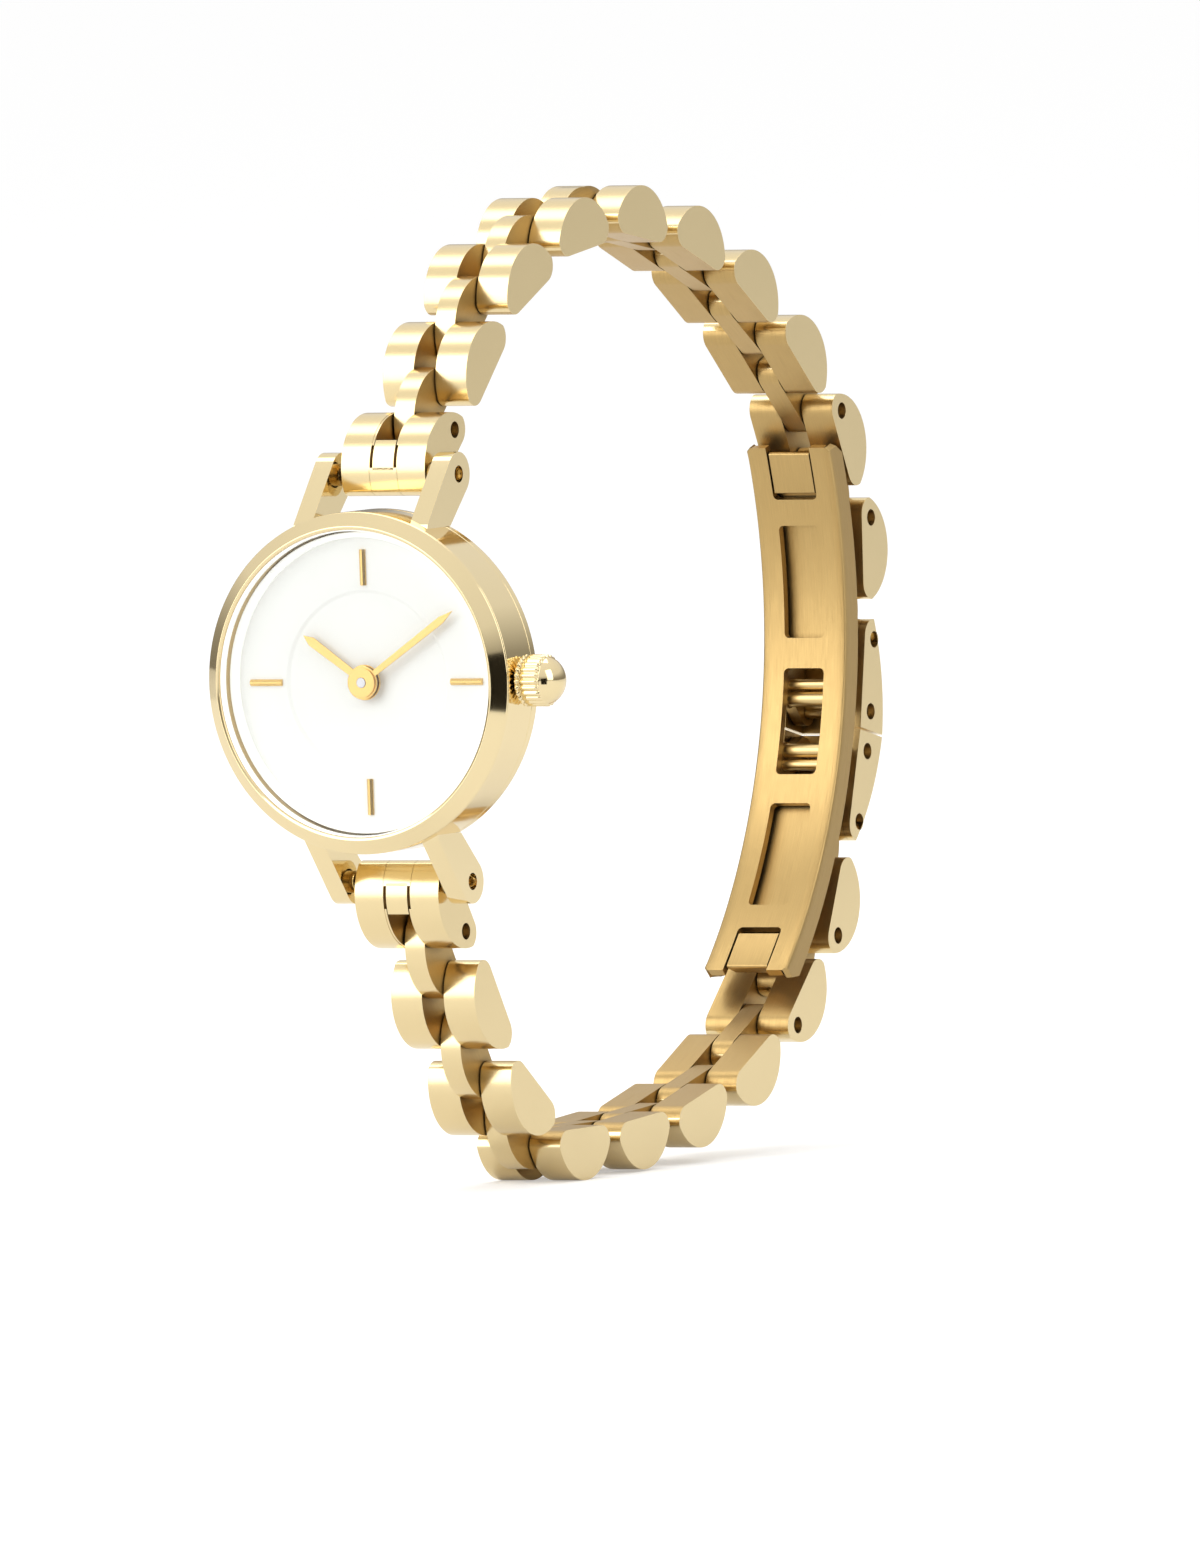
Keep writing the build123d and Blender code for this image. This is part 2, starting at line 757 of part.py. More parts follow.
def write_clasp():
    """The curved plate and, on each side of its middle, a leaf and a cover."""
    write(clasp_seat * clasp_plate(), "clasp_plate")
    write(clasp_seat * hinge_pins(), "clasp_hinge_pins")
    cover_place = Pos(0, -cover_half, 0) * Rot(half_kink, 0, 0)
    for word, turn in (("upper", Rot(0, 0, 0)), ("lower", Rot(0, 0, 180))):
        here = clasp_seat * turn
        write(here * leaf(), word + "_leaf")
        write(here * leaf_rods(), word + "_leaf_rods")
        write(here * cover_place * clasp_cover(), word + "_clasp_cover")
        write(here * cover_place * push_pin(), word + "_clasp_cover_pin")


def main():
    write(case_middle(), "case_middle")
    write(bezel(), "bezel")
    write(crystal(), "crystal")
    write(crystal_gasket(), "crystal_gasket")
    write(rehaut_ring(), "rehaut_ring")
    write(dial(), "dial")
    write(hour_markers(), "hour_markers")
    write(hour_hand(), "hour_hand")
    write(minute_hand(), "minute_hand")
    write(minute_arbor(), "minute_arbor")
    write(hour_pipe(), "hour_pipe")
    write(movement(), "movement")
    write(button_cell(), "button_cell")
    write(movement_holder(), "movement_holder")
    write(case_back(), "case_back")
    write(crown(), "crown")
    write(setting_stem(), "setting_stem")
    write(crown_seal(), "crown_seal")
    write_half(1, upper, "upper")
    write_half(-1, lower, "lower")
    write_clasp()


main()
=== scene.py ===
import math
import json

import bmesh
import bpy
from mathutils import Matrix, Vector


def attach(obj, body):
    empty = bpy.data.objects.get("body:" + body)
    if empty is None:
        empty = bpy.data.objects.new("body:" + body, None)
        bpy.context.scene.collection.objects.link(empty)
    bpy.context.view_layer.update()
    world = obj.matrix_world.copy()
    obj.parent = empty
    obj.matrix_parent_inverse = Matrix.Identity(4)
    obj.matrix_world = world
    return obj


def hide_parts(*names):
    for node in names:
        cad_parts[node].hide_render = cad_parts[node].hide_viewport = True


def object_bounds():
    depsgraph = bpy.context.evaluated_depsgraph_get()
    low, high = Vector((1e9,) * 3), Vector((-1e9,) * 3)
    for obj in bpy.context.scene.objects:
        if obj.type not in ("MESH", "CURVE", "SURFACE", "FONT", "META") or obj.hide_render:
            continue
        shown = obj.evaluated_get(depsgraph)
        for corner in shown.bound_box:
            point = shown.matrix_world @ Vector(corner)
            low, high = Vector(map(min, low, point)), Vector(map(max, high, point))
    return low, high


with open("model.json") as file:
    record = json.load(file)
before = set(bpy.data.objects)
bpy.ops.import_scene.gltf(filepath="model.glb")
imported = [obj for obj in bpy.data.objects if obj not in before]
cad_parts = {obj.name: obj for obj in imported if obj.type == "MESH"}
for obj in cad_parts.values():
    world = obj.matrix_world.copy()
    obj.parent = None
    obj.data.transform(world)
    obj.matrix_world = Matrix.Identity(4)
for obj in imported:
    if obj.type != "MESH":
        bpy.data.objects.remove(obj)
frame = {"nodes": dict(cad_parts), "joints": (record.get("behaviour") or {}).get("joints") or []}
cad_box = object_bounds()

# The case is a turned band of gold-plated steel with four lugs that lean back.
# The lugs are pressed, drilled for the spring bars and soldered to the band, and all
# of it is polished to a mirror.
MM = 0.001
GOLD = (0.87, 0.715, 0.42, 1.0)
BAND_RADIUS = 10.0
BORE_RADIUS = 8.95
RIM_Y = -4.3
BACK_RING_Y = -1.4
BAND_STEPS = 192
BAND_EDGE = 0.07
LUG_PIN = (0.4, 11.9)
LUG_TIP_RADIUS = 1.3
LUG_ROOT = (-2.55, 8.7)
LUG_ROOT_RADIUS = 1.05
LUG_HOLE_RADIUS = 0.5
LUG_INNER_X = 3.3
LUG_OUTER_X = 4.5
LUG_EDGE = 0.1
LUG_FOOT_RADIUS = 9.4
LUG_CLEAR_RADIUS = BAND_RADIUS + 0.02
LUG_CUT_FRONT_Y = -8
LUG_CUT_BACK_Y = 4


class Socket:
    """A socket in a node tree, with plain arithmetic and one way to add any other node."""

    def __init__(self, tree, socket=None):
        self.tree = tree
        self.socket = socket

    def add(self, kind, settings=None, sockets=None, out=0):
        node = self.tree.nodes.new(kind)
        for key, value in (settings or {}).items():
            if key == "stops":
                ramp = node.color_ramp.elements
                while len(ramp) < len(value):
                    ramp.new(0.5)
                for element, (place, colour) in zip(ramp, value):
                    element.position = place
                    element.color = colour
            else:
                setattr(node, key, value)
        for key, value in (sockets or {}).items():
            if isinstance(value, Socket):
                self.tree.links.new(value.socket, node.inputs[key])
            else:
                node.inputs[key].default_value = value
        return Socket(self.tree, node.outputs[out])

    def other(self, name):
        """Another output of the same node."""
        return Socket(self.tree, self.socket.node.outputs[name])

    def noise(self, scale, detail):
        """Cloudy noise over this place."""
        return self.add("ShaderNodeTexNoise", None, {"Vector": self, "Scale": scale, "Detail": detail})

    def maths(self, operation, *values):
        return self.add("ShaderNodeMath", {"operation": operation}, dict(enumerate(values)))

    def __add__(self, other):
        return self.maths("ADD", self, other)

    def __radd__(self, other):
        return self.maths("ADD", other, self)

    def __rsub__(self, other):
        return self.maths("SUBTRACT", other, self)

    def __mul__(self, other):
        return self.maths("MULTIPLY", self, other)

    def __rmul__(self, other):
        return self.maths("MULTIPLY", other, self)


def new_finish(name):
    """An empty material and the surface that its nodes are added to."""
    material = bpy.data.materials.new(name)
    material.use_nodes = True
    material.node_tree.nodes.clear()
    return material, Socket(material.node_tree)


def close_finish(surface, shader, kind="ShaderNodeOutputMaterial"):
    output = surface.tree.nodes.new(kind)
    surface.tree.links.new(shader.socket, output.inputs["Surface"])


def polished_gold(name, colour, gloss):
    """Polish: faint wiping marks in the roughness and the slightest waviness."""
    material, surface = new_finish(name)
    place = surface.add("ShaderNodeTexCoord", out="Object")
    cloud = place.noise(260.0, 3.0)
    rough = gloss + 0.05 * cloud + 0.02 * place.noise(2600.0, 2.0)
    waves = surface.add("ShaderNodeBump", None, {"Strength": 0.02, "Distance": 0.00002, "Height": cloud})
    shader = surface.add("ShaderNodeBsdfPrincipled", None, {
        "Base Color": colour, "Metallic": 1.0, "Roughness": rough, "Normal": waves,
    })
    close_finish(surface, shader)
    return material


mirror_gold = polished_gold("polished_gold", GOLD, 0.05)


def arc_points(centre, radius, start, end, count):
    """Points on an arc, angles in degrees, both ends included."""
    points = []
    for step in range(count + 1):
        turn = math.radians(start + (end - start) * step / count)
        points.append((centre[0] + radius * math.cos(turn), centre[1] + radius * math.sin(turn)))
    return points


def row_edges(bm, rows):
    """Edges along closed rows of vertices."""
    edges = []
    for row in rows:
        for count, vert in enumerate(row):
            edges.append(bm.edges.new((vert, row[(count + 1) % len(row)])))
    return edges


def bridge_rows(bm, low, high):
    """Faces between two closed rows of vertices."""
    faces = []
    for count in range(len(low)):
        after = (count + 1) % len(low)
        faces.append(bm.faces.new((low[count], low[after], high[after], high[count])))
    return faces


def add_block(bm, outline, x_low, x_high, holes=(), low_finish=0, high_finish=0, rim_finish=None):
    """A flat outline, in U and V, extruded along X. Holes are (u, v, radius)."""
    grain = bm.loops.layers.uv.get("grain") or bm.loops.layers.uv.new("grain")
    loops = [list(outline)]
    for u, v, radius in holes:
        loops.append(arc_points((u, v), radius, 360, 0, 32)[:-1])
    ends = []
    for x, finish in ((x_low, low_finish), (x_high, high_finish)):
        outwards = 1 if x == x_high else -1
        rows = [[bm.verts.new((x, u, v)) for u, v in loop] for loop in loops]
        edges = row_edges(bm, rows)
        made = bmesh.ops.triangle_fill(bm, use_beauty=True, edges=edges, normal=(outwards, 0, 0))
        for face in made["geom"]:
            if isinstance(face, bmesh.types.BMFace):
                if face.normal.x * outwards < 0:
                    face.normal_flip()
                face.material_index = finish
                for corner in face.loops:
                    corner[grain].uv = (corner.vert.co.y, corner.vert.co.z)
        ends.append(rows)
    for number, (low_row, high_row) in enumerate(zip(*ends)):
        for face in bridge_rows(bm, low_row, high_row):
            face.smooth = True
            for corner in face.loops:
                corner[grain].uv = (corner.vert.co.y, corner.vert.co.x)
            if number:
                face.material_index = 1
            elif rim_finish is not None:
                face.normal_update()
                face.material_index = rim_finish(face)


def both_sides(near, far):
    """The X ranges of a piece that stands right and left of the middle."""
    return ((near, far), (-far, -near))


def draft_object(bm, name, *finishes):
    """A working object in millimetres."""
    mesh = bpy.data.meshes.new(name + "_draft")
    bm.normal_update()
    bm.to_mesh(mesh)
    bm.free()
    for finish in finishes:
        mesh.materials.append(finish)
    draft = bpy.data.objects.new(name + "_draft", mesh)
    bpy.context.scene.collection.objects.link(draft)
    return draft


def round_edges(draft, width, segments=2, angle=28):
    """A small round on every sharp edge, with flat faces that stay flat in reflections."""
    bevel = draft.modifiers.new("round", "BEVEL")
    bevel.width = width
    bevel.segments = segments
    bevel.limit_method = "ANGLE"
    bevel.angle_limit = math.radians(angle)
    bevel.harden_normals = True
    bevel.use_clamp_overlap = True
    return draft


def shown_mesh(draft):
    """A draft as its modifiers show it, as a plain mesh."""
    graph = bpy.context.evaluated_depsgraph_get()
    shown = draft.evaluated_get(graph)
    return bpy.data.meshes.new_from_object(shown, preserve_all_data_layers=True, depsgraph=graph)


def finished(draft, name, body, node, place=None):
    """The plain mesh of a draft, in metres, riding on its body in place of its CAD node."""
    bpy.context.view_layer.update()
    mesh = shown_mesh(draft)
    if place is not None:
        mesh.transform(place)
    mesh.transform(Matrix.Scale(MM, 4))
    mesh.name = name
    piece = bpy.data.objects.new(name, mesh)
    bpy.context.scene.collection.objects.link(piece)
    bpy.data.objects.remove(draft)
    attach(piece, body)
    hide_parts(node)


def turned_mesh(bm, profile, segments):
    """A closed profile of (radius, Y) points turned about the Y axis through the dial."""
    rings = []
    for radius, y in profile:
        if radius < 1e-6:
            rings.append([bm.verts.new((0, y, 0))])
            continue
        ring = []
        for step in range(segments):
            turn = 2 * math.pi * step / segments
            ring.append(bm.verts.new((radius * math.sin(turn), y, radius * math.cos(turn))))
        rings.append(ring)
    for count, low in enumerate(rings):
        high = rings[(count + 1) % len(rings)]
        if len(low) == 1 and len(high) == 1:
            continue
        for step in range(segments):
            after = (step + 1) % segments
            corners = [low[step % len(low)], low[after % len(low)]]
            corners += [high[after % len(high)], high[step % len(high)]]
            face = bm.faces.new(list(dict.fromkeys(corners)))
            face.smooth = True
    bmesh.ops.recalc_face_normals(bm, faces=bm.faces[:])


def hull(points):
    """The convex outline round a set of points, anticlockwise."""
    points = sorted(set(points))
    halves = []
    for run in (points, points[::-1]):
        half = []
        for point in run:
            while len(half) > 1:
                (ax, ay), (bx, by) = half[-2], half[-1]
                if (bx - ax) * (point[1] - ay) - (by - ay) * (point[0] - ax) > 1e-9:
                    break
                half.pop()
            half.append(point)
        halves.append(half[:-1])
    return halves[0] + halves[1]


def ring_profile(inner, outer, front_y, back_y):
    """A plain ring, or a plain disc where the inner radius is 0."""
    return [(inner, front_y), (outer, front_y), (outer, back_y), (inner, back_y)]


bm = bmesh.new()
turned_mesh(bm, ring_profile(BORE_RADIUS, BAND_RADIUS, RIM_Y, BACK_RING_Y), BAND_STEPS)
band_draft = round_edges(draft_object(bm, "case_middle", mirror_gold, mirror_gold), BAND_EDGE)

bm = bmesh.new()
turned_mesh(bm, [
    (0, LUG_CUT_FRONT_Y), (LUG_FOOT_RADIUS, LUG_CUT_FRONT_Y), (LUG_FOOT_RADIUS, BACK_RING_Y),
    (LUG_CLEAR_RADIUS, BACK_RING_Y), (LUG_CLEAR_RADIUS, LUG_CUT_BACK_Y), (0, LUG_CUT_BACK_Y),
], 160)
lug_cutter = draft_object(bm, "lug_cutter")
lug_outline = hull(
    arc_points(LUG_PIN, LUG_TIP_RADIUS, 0, 360, 64) + arc_points(LUG_ROOT, LUG_ROOT_RADIUS, 0, 360, 48)
)
case_parts = [band_draft]
for low, high in both_sides(LUG_INNER_X, LUG_OUTER_X):
    for end in (1, -1):
        bm = bmesh.new()
        outline = lug_outline if end > 0 else [(u, -v) for u, v in reversed(lug_outline)]
        add_block(bm, outline, low, high, [(LUG_PIN[0], LUG_PIN[1] * end, LUG_HOLE_RADIUS)])
        lug = round_edges(draft_object(bm, "lug", mirror_gold, mirror_gold), LUG_EDGE, 3)
        cut = lug.modifiers.new("seat", "BOOLEAN")
        cut.operation = "DIFFERENCE"
        cut.solver = "EXACT"
        cut.object = lug_cutter
        case_parts.append(lug)
bpy.context.view_layer.update()
bm = bmesh.new()
for part in case_parts:
    bm.from_mesh(shown_mesh(part))
whole_case = draft_object(bm, "case_whole", mirror_gold, mirror_gold)
for part in case_parts + [lug_cutter]:
    bpy.data.objects.remove(part)
finished(whole_case, "case_band_and_lugs", "head", "case_middle")

# The bezel is a turned ring with one wide slope, pressed on the front of the band.
# It is gold-plated steel, polished, and holds the crystal.
BEZEL_FRONT_Y = -5.05
BEZEL_FRONT_RADIUS = 9.175
BEZEL_BORE_RADIUS = 9.0
BEZEL_STEP = 0.12
BEZEL_LIP = 0.06
BEZEL_EDGE = 0.05


def turned_piece(name, body, node, finish, width, profile, segments=160):
    bm = bmesh.new()
    turned_mesh(bm, profile, segments)
    finished(round_edges(draft_object(bm, name, finish), width), name, body, node)


turned_piece("bezel_ring", "head", "bezel", mirror_gold, BEZEL_EDGE, [
    (BEZEL_BORE_RADIUS, RIM_Y), (BAND_RADIUS, RIM_Y), (BAND_RADIUS, RIM_Y - BEZEL_STEP),
    (BEZEL_FRONT_RADIUS, BEZEL_FRONT_Y), (BEZEL_BORE_RADIUS, BEZEL_FRONT_Y + BEZEL_LIP),
], BAND_STEPS)

# The case back is a turned steel disc with a raised flat, pressed into the band.
# Its rim shows as a thin second step behind the band, with a groove between.
BACK_FLAT_RADIUS = 8.0
BACK_SLOPE = (9.4, -0.35)
BACK_GROOVE_Y = -0.6
BACK_RIM_RADIUS = 9.75
BACK_RIM_Y = -0.85
BACK_SEAT_RADIUS = 8.93
BACK_INSIDE_Y = -0.62
BACK_EDGE = 0.06
turned_piece("case_back_plate", "head", "case_back", mirror_gold, BACK_EDGE, [
    (0, 0), (BACK_FLAT_RADIUS, 0), BACK_SLOPE, (BACK_SLOPE[0], BACK_GROOVE_Y),
    (BACK_RIM_RADIUS, BACK_GROOVE_Y), (BAND_RADIUS, BACK_RIM_Y), (BAND_RADIUS, BACK_RING_Y),
    (BACK_SEAT_RADIUS, BACK_RING_Y), (BACK_SEAT_RADIUS, BACK_INSIDE_Y), (0, BACK_INSIDE_Y),
], BAND_STEPS)

# The crystal is flat mineral glass, bevelled at its rim and held by a thin clear seal.
# A turned ring, the rehaut, spaces it from the dial. Both pale rings glow a little, in
# place of the light that a glass edge carries to them.
CRYSTAL_FRONT_Y = -4.88
CRYSTAL_RADIUS = 8.88
CRYSTAL_BACK_Y = CRYSTAL_FRONT_Y + 0.8
CRYSTAL_EDGE = 0.06
SEAL_INNER_RADIUS = 8.9
SEAL_OUTER_RADIUS = 8.98
SEAL_EDGE = 0.02
REHAUT_INNER_RADIUS = 8.5
REHAUT_OUTER_RADIUS = 8.8
REHAUT_FRONT_Y = CRYSTAL_BACK_Y + 0.03
REHAUT_EDGE = 0.03
DIAL_TOP_Y = RIM_Y + 0.95


def clear_glass():
    """Thin glass: see-through, with a clean reflection that grows towards grazing."""
    material, surface = new_finish("crystal_glass")
    clear = surface.add("ShaderNodeBsdfTransparent", None, {"Color": (0.985, 0.99, 0.99, 1.0)})
    shine = surface.add("ShaderNodeBsdfGlossy", None, {"Color": (1, 1, 1, 1), "Roughness": 0.01})
    facing = surface.add("ShaderNodeLayerWeight", None, {"Blend": 0.5}, "Facing")
    edge = 0.03 + 0.35 * surface.maths("POWER", facing, 5.0)
    shader = surface.add("ShaderNodeMixShader", None, {0: edge, 1: clear, 2: shine})
    close_finish(surface, shader)
    return material


def plain_finish(name, colour, rough, metal=0.0, scale=900.0, variation=0.08, glow=0.0):
    """A plain surface whose gloss varies a little."""
    material, surface = new_finish(name)
    place = surface.add("ShaderNodeTexCoord", out="Object")
    cloud = place.noise(scale, 3.0)
    shader = surface.add("ShaderNodeBsdfPrincipled", None, {
        "Base Color": colour, "Metallic": metal, "Roughness": rough + variation * cloud,
        "Emission Color": colour, "Emission Strength": glow,
    })
    close_finish(surface, shader)
    return material


glass = clear_glass()
seal_clear = plain_finish("seal", (0.86, 0.86, 0.84, 1.0), 0.5, glow=0.35)
rehaut_white = plain_finish("rehaut_white", (0.9, 0.9, 0.87, 1.0), 0.4, glow=0.3)
turned_piece("crystal_disc", "head", "crystal", glass, CRYSTAL_EDGE,
             ring_profile(0, CRYSTAL_RADIUS, CRYSTAL_FRONT_Y, CRYSTAL_BACK_Y))
turned_piece("crystal_seal", "head", "crystal_gasket", seal_clear, SEAL_EDGE,
             ring_profile(SEAL_INNER_RADIUS, SEAL_OUTER_RADIUS, CRYSTAL_FRONT_Y, RIM_Y))
turned_piece("rehaut", "head", "rehaut_ring", rehaut_white, REHAUT_EDGE,
             ring_profile(REHAUT_INNER_RADIUS, REHAUT_OUTER_RADIUS, REHAUT_FRONT_Y, DIAL_TOP_Y))

# The dial is a brass disc sprayed warm white, its middle pressed a little lower with a
# soft step.
DIAL_RADIUS = 8.8
DIAL_BACK_Y = DIAL_TOP_Y + 0.4
DIAL_HOLE_RADIUS = 0.55
DIAL_SUNK = 0.14
DIAL_STEP = ((5.16, DIAL_SUNK), (5.24, 0.115), (5.34, 0.03), (5.42, 0.0))
DIAL_EDGE = 0.03
dial_white = plain_finish("dial_enamel", (0.92, 0.915, 0.88, 1.0), 0.42, 0.0, 5200.0, 0.12)
dial_profile = [(DIAL_HOLE_RADIUS, DIAL_TOP_Y + DIAL_SUNK)]
dial_profile += [(radius, DIAL_TOP_Y + depth) for radius, depth in DIAL_STEP]
dial_profile += [(DIAL_RADIUS, DIAL_TOP_Y), (DIAL_RADIUS, DIAL_BACK_Y), (DIAL_HOLE_RADIUS, DIAL_BACK_Y)]
turned_piece("dial_plate", "head", "dial", dial_white, DIAL_EDGE, dial_profile)

# Four slim bars mark the quarters. They are cut from gold-plated brass with a sloping
# top and are set in the dial.
BAR_LENGTH = 2.1
BAR_OUTER_RADIUS = 7.75
BAR_WIDTH = 0.38
BAR_HEIGHT = 0.2
BAR_WALL = 0.1
BAR_RIDGE_SHARE = 0.25
hand_gold = polished_gold("hand_gold", (0.80, 0.53, 0.18, 1.0), 0.22)


def nodes_tree(name, inputs):
    """A Geometry Nodes tree with a geometry in and out and named inputs. Gives its first socket."""
    tree = bpy.data.node_groups.new(name, "GeometryNodeTree")
    for title, kind in [("Geometry", "Geometry")] + inputs:
        tree.interface.new_socket(title, in_out="INPUT", socket_type="NodeSocket" + kind)
    tree.interface.new_socket("Geometry", in_out="OUTPUT", socket_type="NodeSocketGeometry")
    return Socket(tree).add("NodeGroupInput")


def close_tree(geometry, finish, where=True):
    """Ends a tree: instances made real, and the finish set where asked."""
    real = geometry.add("GeometryNodeRealizeInstances", None, {0: geometry})
    painted = real.add("GeometryNodeSetMaterial", None, {
        "Geometry": real, "Selection": where, "Material": finish,
    })
    output = geometry.tree.nodes.new("NodeGroupOutput")
    geometry.tree.links.new(painted.socket, output.inputs[0])
    return geometry.tree


def run_tree(draft, tree, values):
    """Puts the tree on the draft and sets its inputs by their sockets' identifiers."""
    modifier = draft.modifiers.new(tree.name, "NODES")
    modifier.node_group = tree
    for item in tree.interface.items_tree:
        if item.in_out == "INPUT" and item.name in values:
            modifier[item.identifier] = values[item.name]


def hour_bar_tree():
    """One bar in, set round the dial as often as asked, each turned to its place."""
    given = nodes_tree("hour_bars", [("Count", "Int"), ("Radius", "Float"), ("Finish", "Material")])
    count = given.other("Count")
    turn = given.maths("DIVIDE", given.add("GeometryNodeInputIndex"), count) * (2 * math.pi)
    angles = given.add("ShaderNodeCombineXYZ", None, {"Y": turn})
    spot = given.add("ShaderNodeCombineXYZ", None, {"Z": given.other("Radius")})
    spun = given.add("ShaderNodeVectorRotate", {"rotation_type": "EULER_XYZ"}, {
        "Vector": spot, "Rotation": angles,
    })
    points = given.add("GeometryNodePoints", None, {"Count": count, "Position": spun, "Radius": 0.1})
    placed = given.add("GeometryNodeInstanceOnPoints", None, {
        "Points": points, "Instance": given, "Rotation": angles,
    })
    return close_tree(placed, given.other("Finish"))


half = BAR_WIDTH / 2
ridge = half * BAR_RIDGE_SHARE
bar_section = [
    (DIAL_TOP_Y, -half), (DIAL_TOP_Y - BAR_WALL, -half), (DIAL_TOP_Y - BAR_HEIGHT, -ridge),
    (DIAL_TOP_Y - BAR_HEIGHT, ridge), (DIAL_TOP_Y - BAR_WALL, half), (DIAL_TOP_Y, half),
]
bm = bmesh.new()
bar_ends = []
for z in (-BAR_LENGTH / 2, BAR_LENGTH / 2):
    bar_ends.append([bm.verts.new((x, y, z)) for y, x in bar_section])
for row in bar_ends:
    bm.faces.new(row)
bridge_rows(bm, *bar_ends)
bmesh.ops.recalc_face_normals(bm, faces=bm.faces[:])
bars = draft_object(bm, "hour_bars", hand_gold)
run_tree(bars, hour_bar_tree(), {
    "Count": 4, "Radius": BAR_OUTER_RADIUS - BAR_LENGTH / 2, "Finish": hand_gold,
})
finished(bars, "hour_bars", "head", "hour_markers")

# The hands are stamped from brass, gold plated and faced, with pointed tips. They are
# pressed on the hour pipe and on the minute arbor, whose steel end shows in the hub.
HOUR_ANGLE = 304.7
MINUTE_ANGLE = 56.0
HAND_THICKNESS = 0.12
HAND_EDGE = 0.025
SHOULDER_SHARE = 0.87
ROOT_SHARE = 0.4
HOUR_HAND_RISE = 0.24
MINUTE_HAND_RISE = 0.48
BOSS_HEIGHT = 0.12
PIPE_BORE_RADIUS = 0.33
PIPE_RADIUS = 0.45
PIPE_RISE = 0.36
PIPE_EDGE = 0.02
ARBOR_RADIUS = 0.3
ARBOR_RISE = 0.76
ARBOR_EDGE = 0.03


def hand_piece(name, body, node, angle, rise, length, width, hub_radius, bore_radius, boss_radius=0.0):
    """A flat pencil hand with its hub, and a raised boss where asked, turned to its hour."""
    root = ROOT_SHARE * width
    shoulder = SHOULDER_SHARE * length
    blade = [(root, 0), (width / 2, shoulder), (0, length), (-width / 2, shoulder), (-root, 0)]
    outline = [point for point in blade if math.hypot(*point) > hub_radius]
    start = math.degrees(math.asin(root / hub_radius))
    outline += arc_points((0, 0), hub_radius, 90 + start, 450 - start, 72)
    ring = arc_points((0, 0), bore_radius, 360, 0, 40)[:-1]
    back_y = DIAL_TOP_Y - rise
    front_y = back_y - HAND_THICKNESS
    bm = bmesh.new()
    sides = []
    for y in (back_y, front_y):
        rows = [[bm.verts.new((x, y, z)) for x, z in loop] for loop in (outline, ring)]
        bmesh.ops.triangle_fill(bm, use_beauty=True, edges=row_edges(bm, rows))
        sides.append(rows)
    for back, front in zip(*sides):
        bridge_rows(bm, back, front)
    bmesh.ops.recalc_face_normals(bm, faces=bm.faces[:])
    if boss_radius:
        turned_mesh(bm, ring_profile(bore_radius, boss_radius, front_y - BOSS_HEIGHT, front_y), 64)
    turn = Matrix.Rotation(math.radians(angle), 3, "Y")
    bmesh.ops.rotate(bm, verts=bm.verts[:], cent=(0, 0, 0), matrix=turn)
    finished(round_edges(draft_object(bm, name, hand_gold), HAND_EDGE), name, body, node)


hand_piece("hour_hand_blade", "hour", "hour_hand", HOUR_ANGLE, HOUR_HAND_RISE,
           length=4.85, width=0.55, hub_radius=1.04, bore_radius=PIPE_RADIUS)
hand_piece("minute_hand_blade", "minute", "minute_hand", MINUTE_ANGLE, MINUTE_HAND_RISE,
           length=7.45, width=0.45, hub_radius=0.98, bore_radius=ARBOR_RADIUS, boss_radius=0.88)
steel = plain_finish("turned_steel", (0.55, 0.54, 0.56, 1.0), 0.22, 1.0)
turned_piece("minute_arbor_end", "minute", "minute_arbor", steel, ARBOR_EDGE,
             ring_profile(0, ARBOR_RADIUS, DIAL_TOP_Y - ARBOR_RISE, DIAL_BACK_Y), 48)
turned_piece("hour_pipe_tube", "hour", "hour_pipe", steel, PIPE_EDGE,
             ring_profile(PIPE_BORE_RADIUS, PIPE_RADIUS, DIAL_TOP_Y - PIPE_RISE, DIAL_BACK_Y), 48)

# The crown is turned steel, gold plated: a reeded sleeve with one groove and a
# polished dome. It is screwed on the stem, which runs through a seal in the band.
CROWN_Y = -2.5
SLEEVE_RADIUS = 1.52
SLEEVE_START = 10.12
SLEEVE_END = 11.72
SLEEVE_INSET = 0.08
FOOT_ROUND = ((0.16, 0.0), (0.05, 0.04))
SHOULDER_ROUND = ((0.06, -0.02), (0.12, 0.0))
GROOVE_START_X = 10.33
GROOVE_END_X = 10.47
GROOVE_RADIUS = 1.34
GROOVE_LIP = 0.02
BALL_RADIUS = 1.5
BALL_X = 11.12
REEDS = 24
REED_DEPTH = 0.085
REED_START = SLEEVE_START + 0.03
REED_END = SLEEVE_END - 0.01


def flute_tree():
    """Leaves rounded reeds along a smooth sleeve, as many round it as asked, with narrow valleys."""
    given = nodes_tree("flutes", [
        ("Count", "Float"), ("Depth", "Float"), ("Start", "Float"), ("End", "Float"), ("Finish", "Material"),
    ])
    parts = given.add("ShaderNodeSeparateXYZ", None, {0: given.add("GeometryNodeInputPosition")})
    x, y, z = (parts.other(axis) for axis in "XYZ")
    wave = given.maths("COSINE", given.maths("ARCTAN2", y, z) * given.other("Count"))
    valley = 1 - given.maths("ABSOLUTE", wave)
    after = given.maths("GREATER_THAN", x, given.other("Start"))
    before = given.maths("LESS_THAN", x, given.other("End"))
    keep = 1 - valley * given.other("Depth") * (after * before)
    moved = given.add("ShaderNodeCombineXYZ", None, {"X": x, "Y": y * keep, "Z": z * keep})
    shaped = given.add("GeometryNodeSetPosition", None, {"Geometry": given, "Position": moved})
    return close_tree(shaped, given.other("Finish"))


